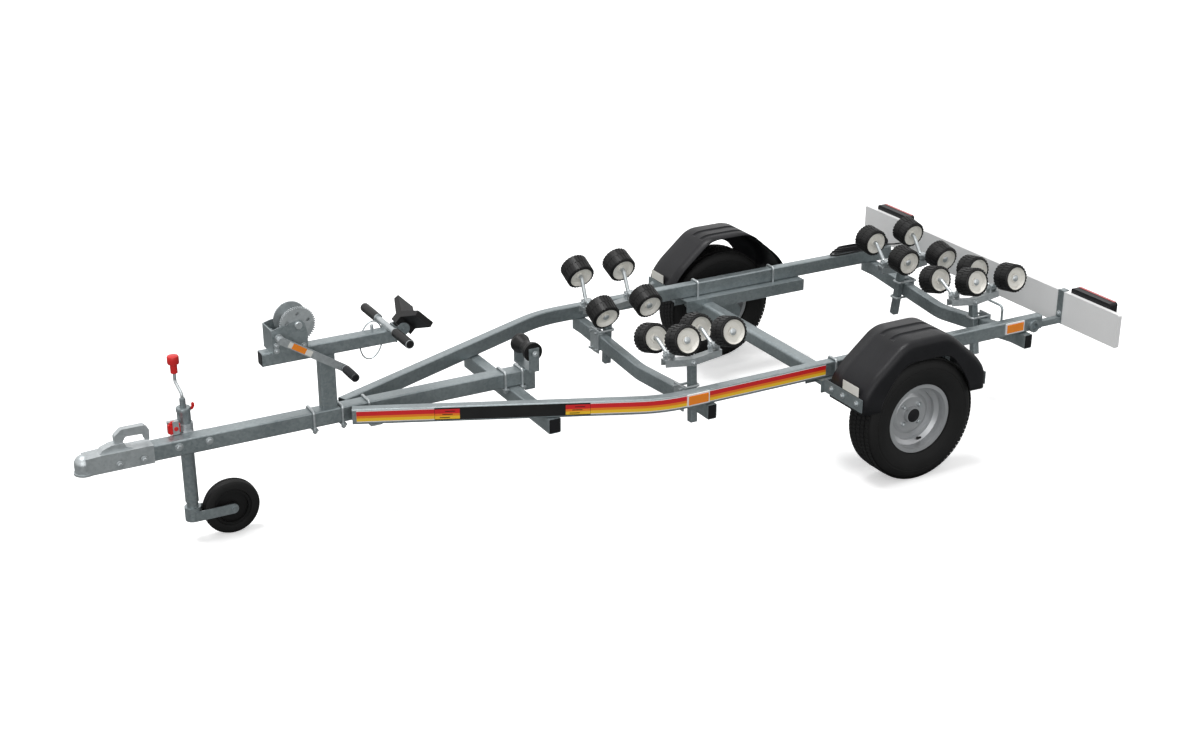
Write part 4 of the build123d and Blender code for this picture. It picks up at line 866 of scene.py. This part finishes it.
class TRAILER_OT_fasteners(Maker):
    """Hexagon bolt heads with washers, the tubes' end plugs, and caps on the rollers' pins."""

    bl_idname = "trailer.fasteners"
    bl_label = "Bolts and washers"

    def make(self):
        self.frame_bolts()
        self.end_plugs()
        beam_face, rocker_face, pin_end = 0.0187, 0.0186, 0.1541
        cap = [(0, 5.0), (7.5, 4.6), (11.5, 2.6), (13.5, 0.4), (13.5, 0)]
        for name, joint in JOINTS.items():
            if not name.startswith(("cradle_beam_", "rocker_", "rollers_")):
                continue
            spot, axis = Vector(joint["pos_m"]), Vector(joint["axis"])
            stem = name.rsplit("_", 1)[0]
            meshes = []
            if name.startswith("cradle_beam_"):
                for sign in (-1, 1):
                    meshes += hexagon(spot + axis * sign * beam_face, axis * sign, 8.0)
                joined(f"{stem}_bolt", meshes, BRIGHT, joint["child"])
            if name.startswith("rocker_"):
                for sign in (-1, 1):
                    meshes += hexagon(spot + Vector((sign * rocker_face, 0, 0)), (sign, 0, 0), 6.5)
                joined(f"{stem}_bolt", meshes, BRIGHT, joint["parent"])
            if name.startswith("rollers_"):
                for end in (-1, 1):
                    place = frame_along(spot + axis * end * pin_end, axis * end)
                    meshes.append(turned_mesh("cap", cap, place, 32))
                joined(f"{stem}_caps", meshes, BRIGHT, joint["child"])

    def frame_bolts(self):
        """Bolts of the coupling, guards, keel bracket, light-board arms and jockey clamp."""
        meshes = []
        for station in (150.0, 235.0):
            for sign in (-1, 1):
                meshes += hexagon(at(station, sign * 41, 412), (0, sign, 0), 8.0)
        for sign in (-1, 1):
            for end in (-1, 1):
                x = AXLE_STATION + end * 297.2
                for y in (600, 672, 760):
                    meshes += hexagon(at(x, sign * y, 372), (end, 0, 0), 7.0)
            meshes += hexagon(at(1731, sign * 76.0, 527), (0, sign, 0), 7.0)
            for height in (400, 434):
                meshes += hexagon(at(3948.8, sign * 509, height), (-1, 0, 0), 6.5)
            clamp_face = 30 if sign < 0 else 36.3
            for station in (362.0, 470.0):
                meshes += hexagon(at(station, sign * clamp_face, 426), (0, sign, 0), 9.6)
        joined("frame_bolts", meshes, BRIGHT, "frame")

    def end_plugs(self):
        """Black plugs in the open ends of the crossmembers and the winch's beam."""
        inside, outside, low_z, high_z = 0.006, 0.0015, 0.3338, 0.3862
        plugs = []
        for name, station, half in (("front_crossmember", 1660, 21.4),
                                    ("front_cradle_crossmember", 2235, 16.4),
                                    ("rear_cradle_crossmember", 3750, 16.4)):
            low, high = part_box(name)
            fore, aft = at(station - half, 0, 0).x, at(station + half, 0, 0).x
            for end in (low.y, high.y):
                before, after = (inside, outside) if end > 0 else (outside, inside)
                plugs.append(((fore, end - before, low_z), (aft, end + after, high_z)))
        plugs.append((at(683.5, -21.4, 663.6), at(691, 21.4, 706.4)))
        boxes("end_plugs", plugs, GUARD, "frame")


class TRAILER_OT_lead(Maker):
    """Lighting lead: from its gland on the board into a hank on the right rail."""

    bl_idname = "trailer.lead"
    bl_label = "Lighting lead"

    def make(self):
        # from the gland along the board and rail, to the near end of the hank
        route = [(3943, 472, 463), (3908, 472, 463), (3872, 481, 459), (3835, 489, 460),
                 (3797, 493, 465), (3765, 491, 464), (3700, 489.6, 458), (3600, 489.6, 454.2),
                 (3540, 491, 454.2), (3520, 500, 454.2), (3518, 517, 454.2), (3540, 527.8, 454.2)]
        layer_height = 7.7
        for layer, (front, rear) in enumerate(((3530, 3735), (3545, 3738), (3560, 3741))):
            z = 454.2 + layer_height * layer
            above = z + layer_height
            route += [(rear - 60, 528.0, z), (rear, 527.6, z), (rear + 18, 520, z + 1.2),
                      (rear + 18, 505, z + 2.4), (rear, 497.2, z + 3.8),
                      (rear - 60, 497.0, z + 5.5), (front + 75, 497.0, z + 7.0),
                      (front + 18, 497.6, above), (front, 505, above), (front, 520, above),
                      (front + 18, 527.6, above)]
        plug_start = (3765, 518, 468.3)
        route += [(3640, 527.0, 477.2), (3720, 524.0, 474.6), plug_start]
        data = bpy.data.curves.new("lighting_lead_cord", "CURVE")
        data.dimensions = "3D"
        spline = data.splines.new("NURBS")
        spline.points.add(len(route) - 1)
        for point, place in zip(spline.points, route):
            point.co = (*at(*place), 1.0)
        spline.order_u = 3
        spline.use_endpoint_u = True
        spline.resolution_u = 8
        data.bevel_depth = sizes().lead_diameter / 2
        data.bevel_resolution = 5
        data.use_fill_caps = True
        data.materials.append(CABLE)
        cord = bpy.data.objects.new("lighting_lead_cord", data)
        bpy.context.scene.collection.objects.link(cord)
        plug = [(0, 70), (13, 70), (16, 67), (17.6, 60), (17.6, 34), (15.5, 31), (17.6, 28),
                (17.6, 18), (10, 6), (6, 0), (0, 0)]
        made = turned_piece("lead_plug_moulded", plug, frame_along(at(*plug_start), (1, 0, 0)),
                            CABLE, "frame", 40, False, ["lead_plug"])
        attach(cord, "frame")
        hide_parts("lighting_lead", "lead_hank")
        tuple(at(*route[0]))


class TRAILER_PT_panel(bpy.types.Panel):
    """Lists the trailer's sizes and steps."""

    bl_idname = "TRAILER_PT_panel"
    bl_label = "Trailer"
    bl_space_type = "VIEW_3D"
    bl_region_type = "UI"
    bl_category = "Trailer"

    def draw(self, context):
        for name in TrailerSizes.__annotations__:
            self.layout.prop(context.scene.trailer_sizes, name)
        for step in STEPS:
            self.layout.operator(step.bl_idname)


STEPS = (TRAILER_OT_stage, TRAILER_OT_finishes, TRAILER_OT_lead, TRAILER_OT_tyres,
         TRAILER_OT_hubs, TRAILER_OT_rollers, TRAILER_OT_stripes, TRAILER_OT_guards,
         TRAILER_OT_lamps, TRAILER_OT_winch, TRAILER_OT_jockey, TRAILER_OT_fasteners)


def register():
    """Makes the settings, steps and panel known to Blender."""
    for cls in (TrailerSizes, *STEPS, TRAILER_PT_panel):
        bpy.utils.register_class(cls)
    bpy.types.Scene.trailer_sizes = bpy.props.PointerProperty(type=TrailerSizes)


def unregister():
    """Takes them out again."""
    del bpy.types.Scene.trailer_sizes
    for cls in reversed((TrailerSizes, *STEPS, TRAILER_PT_panel)):
        bpy.utils.unregister_class(cls)


def main():
    """Runs every step."""
    register()
    for step in STEPS:
        group, name = step.bl_idname.split(".")
        getattr(getattr(bpy.ops, group), name)()


if __name__ == "__main__":
    main()
